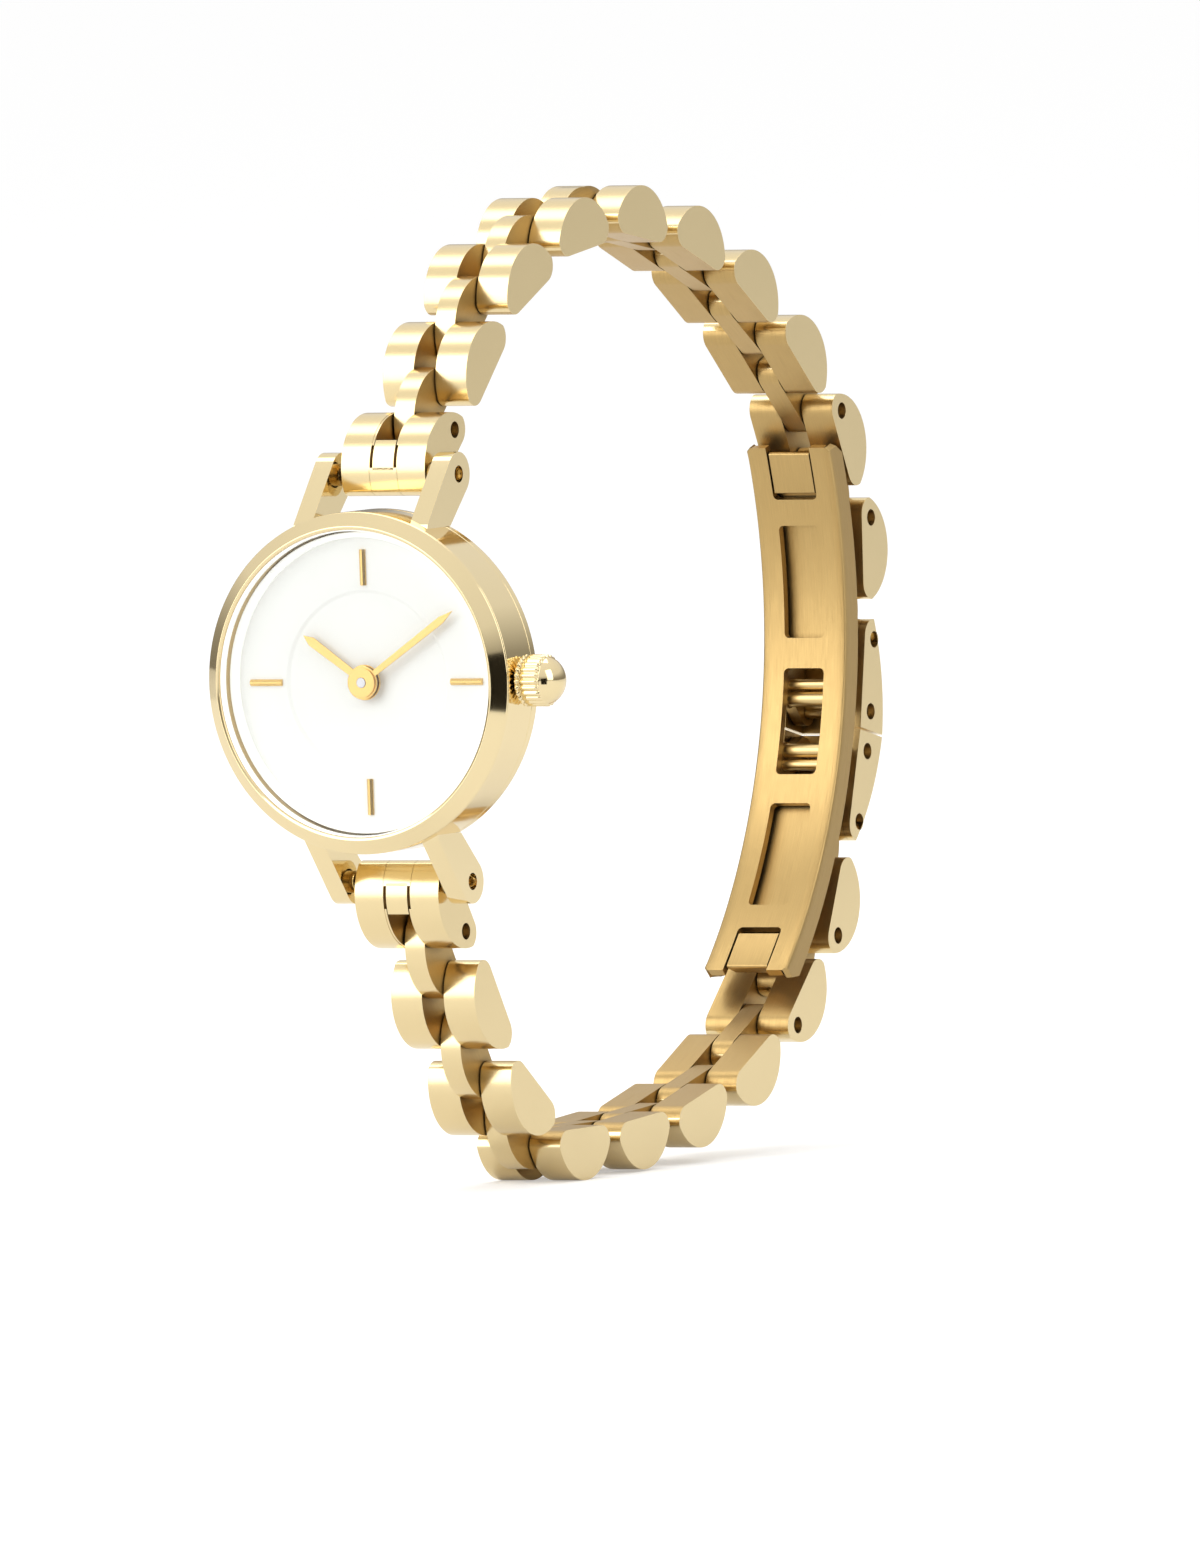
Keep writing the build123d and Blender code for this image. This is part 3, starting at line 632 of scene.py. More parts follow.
def crosswise(bm, profile, segments, u=0.0, v=0.0):
    """Turns (radius, X) points about an axis along X, through a place in U and V."""
    first = len(bm.verts)
    turned_mesh(bm, profile, segments)
    bm.verts.ensure_lookup_table()
    made = bm.verts[first:]
    bmesh.ops.rotate(bm, verts=made, cent=(0, 0, 0), matrix=Matrix.Rotation(-math.pi / 2, 3, "Z"))
    bmesh.ops.translate(bm, verts=made, vec=(0, u, v))


def spread(start, end, steps):
    return [start + (end - start) * step / steps for step in range(steps + 1)]


crown_profile = [(0, SLEEVE_START)]
crown_profile += [(SLEEVE_RADIUS - down, SLEEVE_START + along) for down, along in FOOT_ROUND]
for x in spread(SLEEVE_START + SLEEVE_INSET, GROOVE_START_X - GROOVE_LIP, 2):
    crown_profile.append((SLEEVE_RADIUS, x))
crown_profile += [(GROOVE_RADIUS, GROOVE_START_X), (GROOVE_RADIUS, GROOVE_END_X)]
for x in spread(GROOVE_END_X + GROOVE_LIP, SLEEVE_END - SLEEVE_INSET, 4):
    crown_profile.append((SLEEVE_RADIUS, x))
crown_profile += [(SLEEVE_RADIUS - down, SLEEVE_END + along) for down, along in SHOULDER_ROUND]
dome_start = math.degrees(math.acos((SLEEVE_END - BALL_X) / BALL_RADIUS))
for x, radius in arc_points((BALL_X, 0), BALL_RADIUS, dome_start, 0, 40):
    crown_profile.append((max(radius, 0.0), x))
bm = bmesh.new()
crosswise(bm, crown_profile, 10 * REEDS)
crown_draft = draft_object(bm, "crown", mirror_gold)
run_tree(crown_draft, flute_tree(), {
    "Count": REEDS / 2, "Depth": REED_DEPTH, "Start": REED_START, "End": REED_END, "Finish": mirror_gold,
})
finished(crown_draft, "crown_knob", "crown_turner", "crown",
         Matrix.Translation((0, CROWN_Y, 0)))

# The links are half moons of gold-plated steel: two side lobes, and a middle tongue set
# on by half a pitch that fits in the next link's fork. Outsides are mirror polished, and
# the inner faces and the walls between the rows are brushed. Most pins are riveted flush.
PITCH = 7.25
LINK_LENGTH = 6.05
LINK_THICKNESS = 3.1
LINK_CORNER = 1.0
LINK_OUTER_X = 2.8
TONGUE_HALF = 0.7
PIN_INSET = 1.2
PIN_LIFT = 1.15
PIN_HOLE_RADIUS = 0.49
ROW_GAP = 0.03
LINK_EDGE = 0.09
CORE_INSET = 0.16
CORE_OVERLAP = 0.2
RIVET_RADIUS = PIN_HOLE_RADIUS - 0.03
RIVET_INSET = 0.3
BEYOND = 9
END_SPAN = LINK_LENGTH - 2 * PIN_INSET
LOBE_MIDDLE = LINK_LENGTH / 2 - PIN_INSET
GOLD_DEEP = (0.60, 0.41, 0.165, 1.0)
DARK_STROKE_SHARE = 0.72
link_gold = polished_gold("link_gold", (0.85, 0.685, 0.385, 1.0), 0.17)


def brushed_gold(name, colour, along, across, rough_low, rough_high):
    """Fine straight grain that follows the piece's own map, with painted shade where pieces meet and in
    creases.
    """
    material, surface = new_finish(name)
    place = surface.add("ShaderNodeUVMap", {"uv_map": "grain"})
    stretched = surface.add("ShaderNodeMapping", None, {"Vector": place, "Scale": (along, across, 1.0)})
    strokes = stretched.noise(1.0, 4.0)
    rough = rough_low + (rough_high - rough_low) * strokes + 0.06 * place.noise(0.6, 2.0)
    dark = tuple(DARK_STROKE_SHARE * part for part in colour[:3]) + (1.0,)
    tint = surface.add("ShaderNodeMix", {"data_type": "RGBA"}, {0: strokes, 6: colour, 7: dark}, 2)
    # Painted shade: ambient occlusion darkens the colour in corners and creases, where shade falls.
    painted_crease_shade = surface.add("ShaderNodeAmbientOcclusion", {"samples": 6}, {"Distance": 0.00045}, "AO")
    level = 0.3 + 0.7 * painted_crease_shade
    shade = surface.add("ShaderNodeCombineColor", None, {0: level, 1: level, 2: level})
    tint = surface.add("ShaderNodeMix", {"data_type": "RGBA", "blend_type": "MULTIPLY"}, {
        0: 1.0, 6: tint, 7: shade,
    }, 2)
    grain = surface.add("ShaderNodeBump", None, {"Strength": 0.6, "Distance": 0.00002, "Height": strokes})
    shader = surface.add("ShaderNodeBsdfPrincipled", None, {
        "Base Color": tint, "Metallic": 1.0, "Roughness": rough, "Normal": grain,
    })
    close_finish(surface, shader)
    return material


satin_gold = brushed_gold("brushed_gold", GOLD_DEEP, 0.5, 26.0, 0.26, 0.42)


def half_moon(middle, length=LINK_LENGTH, thickness=LINK_THICKNESS, inset=0.0):
    """Side outline of a link, anticlockwise in U and V: a flat, two round corners and one arc."""
    half = length / 2
    rise = thickness - LINK_CORNER
    radius = (half * half + rise * rise) / (2 * rise)
    centre = (middle, thickness - radius - PIN_LIFT)
    start = math.degrees(math.atan2(LINK_CORNER - (thickness - radius), half))
    low = LINK_CORNER - PIN_LIFT
    right = (middle + half - LINK_CORNER, low)
    left = (middle - half + LINK_CORNER, low)
    points = arc_points(right, LINK_CORNER - inset, -90, 0, 12)
    points += arc_points(centre, radius - inset, start, 180 - start, 56)
    points += arc_points(left, LINK_CORNER - inset, 180, 270, 12)
    return hull(points)


def clipped(outline, other):
    """The part of one convex outline inside another."""
    for count, (u_start, v_start) in enumerate(other):
        u_end, v_end = other[(count + 1) % len(other)]
        kept = []
        for number, here in enumerate(outline):
            after = outline[(number + 1) % len(outline)]
            sides = []
            for u, v in (here, after):
                sides.append((u_end - u_start) * (v - v_start) - (v_end - v_start) * (u - u_start))
            if sides[0] >= 0:
                kept.append(here)
            if (sides[0] >= 0) != (sides[1] >= 0):
                share = sides[0] / (sides[0] - sides[1])
                kept.append(tuple(a + share * (b - a) for a, b in zip(here, after)))
        outline = kept
    clean = []
    for point in outline:
        if not clean or math.dist(point, clean[-1]) > 1e-4:
            clean.append(point)
    if math.dist(clean[0], clean[-1]) < 1e-4:
        clean.pop()
    return clean


def box_outline(u_low=-BEYOND, u_high=BEYOND, v_low=-BEYOND, v_high=BEYOND):
    return [(u_low, v_low), (u_high, v_low), (u_high, v_high), (u_low, v_high)]


def base_is_brushed(face):
    """The inner faces and round corners of a link are brushed, its arc is polished."""
    return 1 if face.normal.z < -0.5 else 0


def side_rows(bm, outline, near, far, holes):
    """The two outer rows of a piece, polished outside and brushed between the rows."""
    add_block(bm, outline, near, far, holes, 1, 0, base_is_brushed)
    add_block(bm, outline, -far, -near, holes, 0, 1, base_is_brushed)


def inner_block(bm, outline, low, high, holes=()):
    """A block between the outer rows, with both its sides brushed."""
    add_block(bm, outline, low, high, holes, 1, 1, base_is_brushed)


def link_draft(push_pin, front_tongue):
    bm = bmesh.new()
    inner = TONGUE_HALF + ROW_GAP
    side_rows(bm, half_moon(LOBE_MIDDLE), inner, LINK_OUTER_X, [(0, 0, PIN_HOLE_RADIUS)] if push_pin else [])
    tongues = [(PITCH / 2, PITCH)]
    if front_tongue:
        tongues.append((-PITCH / 2, END_SPAN - PITCH))
    reach = inner - 2 * ROW_GAP
    lobe_core = half_moon(LOBE_MIDDLE, inset=CORE_INSET)
    for shift, hole_u in tongues:
        middle = LOBE_MIDDLE + shift
        inner_block(bm, half_moon(middle), -reach, reach, [(hole_u, 0, PIN_HOLE_RADIUS)])
        core = clipped(lobe_core, half_moon(middle, inset=CORE_INSET))
        inner_block(bm, core, -inner - CORE_OVERLAP, inner + CORE_OVERLAP)
    if not (push_pin or front_tongue):
        rivet = arc_points((0, 0), RIVET_RADIUS, 0, 360, 24)[:-1]
        add_block(bm, rivet, -LINK_OUTER_X + RIVET_INSET, LINK_OUTER_X - RIVET_INSET)
    return round_edges(draft_object(bm, "link", link_gold, satin_gold), LINK_EDGE, 3)


def placing_tree():
    """Puts one link on the chosen point of a path, leaning as that point says."""
    given = nodes_tree("link_on_path", [("Link", "Object"), ("Which", "Int"), ("Brushed", "Material")])
    same = {"data_type": "INT", "operation": "EQUAL"}
    index = given.add("GeometryNodeInputIndex")
    chosen = given.add("FunctionNodeCompare", same, {2: index, 3: given.other("Which")})
    lean = given.add("GeometryNodeInputNamedAttribute", {"data_type": "FLOAT_VECTOR"}, {"Name": "lean"})
    link = given.add("GeometryNodeObjectInfo", {"transform_space": "ORIGINAL"}, {
        "Object": given.other("Link"),
    }, "Geometry")
    placed = given.add("GeometryNodeInstanceOnPoints", None, {
        "Points": given, "Selection": chosen, "Instance": link, "Rotation": lean,
    })
    finish_number = given.add("GeometryNodeInputMaterialIndex")
    is_brushed = given.add("FunctionNodeCompare", same, {2: finish_number, 3: 1})
    return close_tree(placed, given.other("Brushed"), is_brushed)


pins = {}
for joint in frame["joints"]:
    if "pos_m" in joint:
        pins[joint["name"]] = (joint["pos_m"][1] / MM, joint["pos_m"][2] / MM)


def seat_of(own_pin, next_pin, reach, lower):
    """Where a piece stands: its own zero, and its lean from its own pin to the next."""
    (y_own, z_own), (y_next, z_next) = pins[own_pin], pins[next_pin]
    lean = math.atan2(z_next - z_own, y_next - y_own)
    zero = (y_next - reach * math.cos(lean), z_next - reach * math.sin(lean))
    return zero, lean, lower


def seat_matrix(seat):
    (y, z), lean, lower = seat
    turn = Matrix.Rotation(lean, 4, "X")
    if lower:
        turn = turn @ Matrix.Rotation(math.pi, 4, "Y")
    return Matrix.Translation((0, y, z)) @ turn


UPPER_LINKS = 9
LOWER_LINKS = 8
PUSH_PINNED = ("upper_link_8", "upper_link_9", "lower_link_7", "lower_link_8")
link_seats = {}
upper_run = ["upper_%d_pivot" % count for count in range(1, UPPER_LINKS + 1)] + ["upper_cover_pivot"]
lower_run = ["lower_end_link_pivot"] + ["lower_%d_pivot" % count for count in range(1, LOWER_LINKS + 1)]
for word, run, lower in (("upper", upper_run, False), ("lower", lower_run, True)):
    for count, (own_pin, next_pin) in enumerate(zip(run, run[1:])):
        link_seats["%s_link_%d" % (word, count + 1)] = seat_of(own_pin, next_pin, PITCH, lower)

path_mesh = bpy.data.meshes.new("bracelet_path")
path_mesh.from_pydata([(0, *zero) for zero, lean, lower in link_seats.values()], [], [])
leans = path_mesh.attributes.new("lean", "FLOAT_VECTOR", "POINT")
for count, seat in enumerate(link_seats.values()):
    leans.data[count].vector = tuple(seat_matrix(seat).to_euler("XYZ"))

link_tree = placing_tree()
link_shapes = {}
for push_pin, front_tongue in ((False, False), (True, False), (False, True)):
    link_shapes[push_pin, front_tongue] = link_draft(push_pin, front_tongue)
for count, node in enumerate(link_seats):
    shape = link_shapes[node in PUSH_PINNED, node.endswith("_1")]
    path = bpy.data.objects.new("path", path_mesh)
    bpy.context.scene.collection.objects.link(path)
    run_tree(path, link_tree, {"Link": shape, "Which": count, "Brushed": satin_gold})
    finished(path, node + "_moons", node.replace("_link", ""), node)
for shape in link_shapes.values():
    bpy.data.objects.remove(shape)

# The push pins are straight steel wire, cut with rounded ends a little below the side.
# They hold the end links, the last links and the clasp covers, and come out for sizing.
PIN_RADIUS = 0.42
PIN_END = 2.36
PIN_EDGE = 0.03
DOME = ((0.985, 0.32), (0.92, 0.19), (0.75, 0.09), (0.5, 0.03), (0.0, 0.0))
pin_gold = plain_finish("pin_gold", (0.45, 0.31, 0.12, 1.0), 0.26, 1.0)


def both_ends(half):
    """A whole profile from the half that runs out from the middle."""
    return [(radius, -x) for radius, x in reversed(half)] + half


def rod_profile(radius, end):
    """A round rod with domed ends, as radius and X pairs."""
    return both_ends([(radius * share, end - back) for share, back in DOME])


def pin_piece(node, place):
    bm = bmesh.new()
    crosswise(bm, rod_profile(PIN_RADIUS, PIN_END), 40)
    draft = round_edges(draft_object(bm, node, pin_gold), PIN_EDGE)
    finished(draft, node + "_push_pin", node.replace("_link", ""), node + "_pin", place)


for node in PUSH_PINNED:
    pin_piece(node, seat_matrix(link_seats[node]))

# The end links fill the space between the lugs: a full-width half moon with two cut
# grooves beside its middle bar, a fork at its far end and a tube for the spring bar.
FORK_START = 1.0
FORK_HALF = TONGUE_HALF + 2 * ROW_GAP
CHEEK_START = FORK_START - 0.3
CHEEK_INSET = 0.02
GROOVE_START = -0.45
GROOVE_HALF = TONGUE_HALF + 0.2
GROOVE_DEPTH = 0.3
JOIN = 0.05
BAR_HOLE_RADIUS = 0.77
END_LINK_EDGE = 0.08
end_seats = {"upper_end_link": seat_of("upper_lug_pivot", "upper_1_pivot", END_SPAN, False)}
lower_pin = pins["lower_end_link_pivot"]
lug_place = (pins["upper_lug_pivot"][0], -pins["upper_lug_pivot"][1])
end_lean = math.atan2(lower_pin[1] - lug_place[1], lower_pin[0] - lug_place[0])
end_seats["lower_end_link"] = (lug_place, end_lean, True)
for node, seat in end_seats.items():
    bm = bmesh.new()
    whole = half_moon(LOBE_MIDDLE)
    bar_hole = (0, 0, BAR_HOLE_RADIUS)
    far_hole = (END_SPAN, 0, PIN_HOLE_RADIUS)
    side_rows(bm, whole, GROOVE_HALF, LINK_OUTER_X, [bar_hole, far_hole])
    near = clipped(half_moon(LOBE_MIDDLE, inset=GROOVE_DEPTH), box_outline(u_high=FORK_START))
    inner_block(bm, near, -GROOVE_HALF - 2 * JOIN, GROOVE_HALF + 2 * JOIN, [bar_hole])
    bar = clipped(whole, box_outline(GROOVE_START - 2 * JOIN, FORK_START))
    inner_block(bm, bar, -TONGUE_HALF, TONGUE_HALF, [bar_hole])
    nose = clipped(whole, box_outline(u_high=GROOVE_START))
    inner_block(bm, nose, -GROOVE_HALF - JOIN, GROOVE_HALF + JOIN)
    cheek = clipped(half_moon(LOBE_MIDDLE, inset=CHEEK_INSET), box_outline(CHEEK_START))
    for low, high in both_sides(FORK_HALF, GROOVE_HALF + JOIN):
        inner_block(bm, cheek, low, high, [far_hole])
    draft = round_edges(draft_object(bm, node, link_gold, satin_gold), END_LINK_EDGE, 3)
    place = seat_matrix(seat)
    finished(draft, node + "_moon", node.replace("_link", ""), node, place)
    pin_piece(node, place @ Matrix.Translation((0, END_SPAN, 0)))

# The spring bars are steel tubes with a sprung tip at each end. The upper one's tips
# stand in the lug holes, and the lower one ends just short of its lugs.
TUBE_RADIUS = 0.65
TUBE_END = 3.16
TUBE_STEP = 0.02
TIP_RADIUS = 0.4
TIP_END_RADIUS = 0.32
TIP_SLOPE = 0.1
for word, body, end in (("upper", "head", 4.1), ("lower", "lower_end", 3.25)):
    bm = bmesh.new()
    crosswise(bm, both_ends([
        (TUBE_RADIUS, TUBE_END), (TIP_RADIUS, TUBE_END + TUBE_STEP), (TIP_RADIUS, end - TIP_SLOPE),
        (TIP_END_RADIUS, end), (0, end),
    ]), 48)
    finished(draft_object(bm, word + "_bar", pin_gold), word + "_bar", body,
             word + "_spring_bar", seat_matrix(end_seats[word + "_end_link"]))

# The clasp covers are flatter, longer half moons, cut square where the two meet at the
# mouth, with the grooves of the rows carried on. Each has a fork for its last link and
# is hollowed over the arms of its leaf.
COVER_LENGTH = 6.7
COVER_THICKNESS = 2.7
COVER_KINK = math.radians(3.8)
COVER_WALL = 0.5
COVER_GROOVE_HALF = TONGUE_HALF + 0.12
COVER_GROOVE_DEPTH = 0.2
COVER_EDGE = 0.07
MOUTH_GAP = 0.14
COVER_REACH = COVER_LENGTH - 2 * PIN_INSET
COVER_HALF = COVER_REACH * math.cos(COVER_KINK) + PIN_INSET
PIN_RISE = COVER_REACH * math.sin(COVER_KINK)
POCKET_START = 1.12
POCKET_ROOF = 0.97
(upper_y, upper_z), (lower_y, lower_z) = pins["upper_cover_pivot"], pins["lower_8_pivot"]
clasp_lean = math.atan2(lower_z - upper_z, lower_y - upper_y)
clasp_place = seat_matrix((((upper_y + lower_y) / 2, (upper_z + lower_z) / 2), clasp_lean, False))
clasp_halves = (("upper", clasp_place), ("lower", clasp_place @ Matrix.Rotation(math.pi, 4, "Z")))
cover_shift = Matrix.Translation((0, -COVER_HALF, 0)) @ Matrix.Rotation(COVER_KINK, 4, "X")


def up_to_mouth(u_low):
    """Everything from a place on the cover to its mouth end, which is square to the clasp."""
    ends = []
    for v in (-BEYOND, BEYOND):
        past_pin = PIN_INSET - MOUTH_GAP / 2 + v * math.sin(COVER_KINK)
        ends.append((COVER_REACH + past_pin / math.cos(COVER_KINK), v))
    return [(u_low, -BEYOND), *ends, (u_low, BEYOND)]


def cover_moon(inset=0.0):
    moon = half_moon(COVER_LENGTH - PIN_INSET, 2 * COVER_LENGTH, COVER_THICKNESS, inset)
    return clipped(moon, up_to_mouth(-BEYOND))


for word, half_place in clasp_halves:
    place = half_place @ cover_shift
    bm = bmesh.new()
    whole = cover_moon()
    pin_hole = (0, 0, PIN_HOLE_RADIUS)
    wall_inner_x = LINK_OUTER_X - COVER_WALL
    side_rows(bm, whole, wall_inner_x, LINK_OUTER_X, [pin_hole, (COVER_REACH, 0, PIN_HOLE_RADIUS)])
    roof = clipped(whole, box_outline(v_low=POCKET_ROOF))
    near = clipped(whole, box_outline(u_high=POCKET_START))
    for low, high in both_sides(COVER_GROOVE_HALF, wall_inner_x + JOIN):
        inner_block(bm, roof, low, high)
        inner_block(bm, near, low, high, [pin_hole])
    beyond_fork = up_to_mouth(LOBE_MIDDLE)
    inner_block(bm, clipped(roof, beyond_fork), -TONGUE_HALF, TONGUE_HALF)
    bed = clipped(cover_moon(COVER_GROOVE_DEPTH), beyond_fork)
    bed = clipped(bed, box_outline(v_low=POCKET_ROOF - 2 * JOIN))
    inner_block(bm, bed, -COVER_GROOVE_HALF - JOIN, COVER_GROOVE_HALF + JOIN)
    draft = round_edges(draft_object(bm, "cover", link_gold, satin_gold), COVER_EDGE, 3)
    finished(draft, word + "_cover_moon", word + "_cover", word + "_clasp_cover", place)
    bm = bmesh.new()
    crosswise(bm, rod_profile(PIN_RADIUS, PIN_END), 40)
    finished(draft_object(bm, "pin", pin_gold), word + "_cover_push_pin", word + "_cover",
             word + "_clasp_cover_pin", place)

# The plate of the clasp is one strip of steel pressed into a shallow curved channel and
# pierced five times: two notches for the hinges, two leaf windows and the latch window.
# It is brushed along its length.
PLATE_HALF_CHORD = 15.7
PLATE_SAG = 4.4
PLATE_DEPTH = 1.5
PLATE_WALL = 0.5
PLATE_BELOW = 3.35
PLATE_HALF_WIDTH = 2.8
PLATE_EDGE = 0.06
PLATE_RADIUS = (PLATE_HALF_CHORD ** 2 + PLATE_SAG ** 2) / (2 * PLATE_SAG)
ARC_CENTRE_V = PIN_RISE - PLATE_BELOW - PLATE_RADIUS
END_LENGTH = PLATE_RADIUS * math.asin(PLATE_HALF_CHORD / PLATE_RADIUS)
WALL_RISES = (PLATE_DEPTH, 1.0, 0.5, 0.2)
FOLD_ROUND = ((0.015, 0.1), (0.06, 0.03), (0.14, 0.0))
WINDOW_HALF = 1.35
NOTCH_HALF = 1.47
NOTCH_START = END_LENGTH - 3.22
MOUTH_HALF = 3.2
LEAF_WINDOW = (5.0, 11.7)
TAPER_START = END_LENGTH - 0.8
CORNER_CUT = 0.22
CORNER_ROUND = 0.3
CORNER_TURNS = (18, 36, 54, 72)


def on_clasp(length, rise):
    """U and V of a point so far along the plate's inner face and so far outside it."""
    turn = length / PLATE_RADIUS
    radius = PLATE_RADIUS + rise
    return radius * math.sin(turn), ARC_CENTRE_V + radius * math.cos(turn)


sections = [(PLATE_HALF_WIDTH, rise) for rise in WALL_RISES]
sections += [(PLATE_HALF_WIDTH - inwards, rise) for inwards, rise in FOLD_ROUND]
for x in (2.1, NOTCH_HALF, WINDOW_HALF, NOTCH_HALF - CORNER_ROUND, WINDOW_HALF - CORNER_ROUND, 0.5):
    sections.append((x, 0.0))
sections = [(-x, rise) for x, rise in sections] + [(x, rise) for x, rise in reversed(sections)]
window_ends = ((MOUTH_HALF, -1), (LEAF_WINDOW[0], 1), (LEAF_WINDOW[1], -1), (NOTCH_START, 1))
stations = (0, MOUTH_HALF, *LEAF_WINDOW, NOTCH_START, TAPER_START, END_LENGTH - CORNER_CUT, END_LENGTH)
lengths = {round(place + inward * CORNER_ROUND, 5) for place, inward in window_ends}
for start, end, steps in zip(stations, stations[1:], (6, 4, 12, 5, 3, 2, 2)):
    lengths.update(round(length, 5) for length in spread(start, end, steps))
lengths = sorted(lengths | {-length for length in lengths})
bm = bmesh.new()
grain = bm.loops.layers.uv.new("grain")
rows = []
for length in lengths:
    taper = 1 - max(0.0, abs(length) - TAPER_START) / PLATE_DEPTH
    cut = max(0.0, CORNER_CUT - (END_LENGTH - abs(length)))
    narrowing = (PLATE_HALF_WIDTH - cut - NOTCH_HALF) / (PLATE_HALF_WIDTH - NOTCH_HALF)
    row = []
    for x, rise in sections:
        if abs(x) > NOTCH_HALF:
            x = math.copysign(NOTCH_HALF + (abs(x) - NOTCH_HALF) * narrowing, x)
        row.append(bm.verts.new((x, *on_clasp(length, rise * taper))))
    rows.append(row)
measure = [0.0]
for near, far in zip(sections, sections[1:]):
    measure.append(measure[-1] + math.dist(near, far))
for count in range(len(lengths) - 1):
    middle = abs(lengths[count] + lengths[count + 1]) / 2
    for part in range(len(sections) - 1):
        x = abs(sections[part][0] + sections[part + 1][0]) / 2
        in_window = middle < MOUTH_HALF or LEAF_WINDOW[0] < middle < LEAF_WINDOW[1]
        if (x < WINDOW_HALF and in_window) or (x < NOTCH_HALF and middle > NOTCH_START):
            continue
        steps = ((0, 0), (1, 0), (1, 1), (0, 1))
        face = bm.faces.new([rows[count + number][part + across] for number, across in steps])
        face.smooth = True
        for corner, (number, across) in zip(face.loops, steps):
            corner[grain].uv = (lengths[count + number], measure[part + across])
places_x = [x for x, rise in sections]
for place, inward in window_ends:
    half = NOTCH_HALF if place == NOTCH_START else WINDOW_HALF
    for end in (1, -1):
        corner_row = rows[lengths.index(end * round(place, 5))]
        inner_row = rows[lengths.index(end * round(place + inward * CORNER_ROUND, 5))]
        for side in (1, -1):
            corner_spot = places_x.index(side * half)
            fan = [corner_row[places_x.index(side * (half - CORNER_ROUND))]]
            for turn in map(math.radians, CORNER_TURNS):
                x = side * (half - CORNER_ROUND + CORNER_ROUND * math.sin(turn))
                length = end * (place + inward * CORNER_ROUND * (1 - math.cos(turn)))
                fan.append(bm.verts.new((x, *on_clasp(length, 0.0))))
            fan.append(inner_row[corner_spot])
            for near, far in zip(fan, fan[1:]):
                three = [corner_row[corner_spot], near, far]
                if end * side * inward < 0:
                    three.reverse()
                face = bm.faces.new(three)
                face.smooth = True
                for corner in face.loops:
                    corner[grain].uv = (corner.vert.co.y, corner.vert.co.x + 4.0)
bmesh.ops.delete(bm, geom=[vert for vert in bm.verts if not vert.link_faces], context="VERTS")
plate = draft_object(bm, "plate", satin_gold)
skin = plate.modifiers.new("sheet", "SOLIDIFY")
skin.thickness = PLATE_WALL
skin.offset = -1.0
skin.use_even_offset = True
round_edges(plate, PLATE_EDGE, 2, 40)
finished(plate, "clasp_plate_channel", "plate", "clasp_plate", clasp_place)

# Each leaf is a curved strip hinged in the plate by a solid knuckle, with two arms that
# rise to the pin of its cover. A latch rod and a thicker guide rod join the arms under
# the mouth.
LEAF_INNER = PLATE_WALL + 0.12
LEAF_THICKNESS = 0.55
LEAF_OUTER = LEAF_INNER + LEAF_THICKNESS
LEAF_HALF_WIDTH = 2.18
LEAF_END = 3.32
LEAF_STEPS = 24
LEAF_EDGE = 0.05
STRIP_INNER = LEAF_INNER + 0.16
ARM_WIDTH = 0.7
EYE_RADIUS = 0.85
EYE_HOLE_RADIUS = 0.46
KNUCKLE_RADIUS = 0.865
KNUCKLE_TOP = 0.3
KNUCKLE_HEEL = (1.18, -0.745, 0.12)
KNUCKLE_NOSE = (-1.1, -0.715, 0.15)
LATCH_RADIUS = 0.33
GUIDE_RADIUS = 0.45
ROD_END = 2.2
HINGE_RADIUS = PLATE_RADIUS + LEAF_INNER + LEAF_THICKNESS / 2
HINGE_ANGLE = math.asin((PLATE_HALF_CHORD - 0.95) / HINGE_RADIUS)
HINGE_LENGTH = HINGE_ANGLE * PLATE_RADIUS
hinge_spot = on_clasp(-HINGE_LENGTH, LEAF_INNER + LEAF_THICKNESS / 2)
latch_spot = on_clasp(-2.33, LEAF_OUTER)
guide_spot = on_clasp(-1.5, LEAF_OUTER)
eye_spot = (-PIN_INSET, PIN_RISE)
foot_u, foot_v = on_clasp(-(MOUTH_HALF + 0.36), LEAF_INNER)
foot_spot = (foot_u, foot_v + LEAF_THICKNESS / 2)
knuckle = arc_points((0, 0), KNUCKLE_RADIUS, 0, 360, 64)
for u, v, radius in (KNUCKLE_HEEL, KNUCKLE_NOSE):
    knuckle += arc_points((u, v), radius, 0, 360, 24)
knuckle = clipped(hull(knuckle), box_outline(v_high=KNUCKLE_TOP))
knuckle = [(
    hinge_spot[0] + u * math.cos(HINGE_ANGLE) - v * math.sin(HINGE_ANGLE),
    hinge_spot[1] + u * math.sin(HINGE_ANGLE) + v * math.cos(HINGE_ANGLE),
) for u, v in knuckle]
strip_lengths = spread(-HINGE_LENGTH, -LEAF_END, LEAF_STEPS)
strip = [on_clasp(length, STRIP_INNER) for length in strip_lengths]
strip += [on_clasp(length, LEAF_OUTER) for length in reversed(strip_lengths)]
eye = arc_points(eye_spot, EYE_RADIUS, 0, 360, 48)
heel = arc_points(latch_spot, LEAF_THICKNESS, 0, 360, 40)
foot = arc_points(foot_spot, LEAF_THICKNESS / 2, 0, 360, 32)
guide = arc_points(guide_spot, LEAF_THICKNESS, 0, 360, 40)
rod_gold = plain_finish("rod_gold", (0.70, 0.52, 0.24, 1.0), 0.28, 1.0)
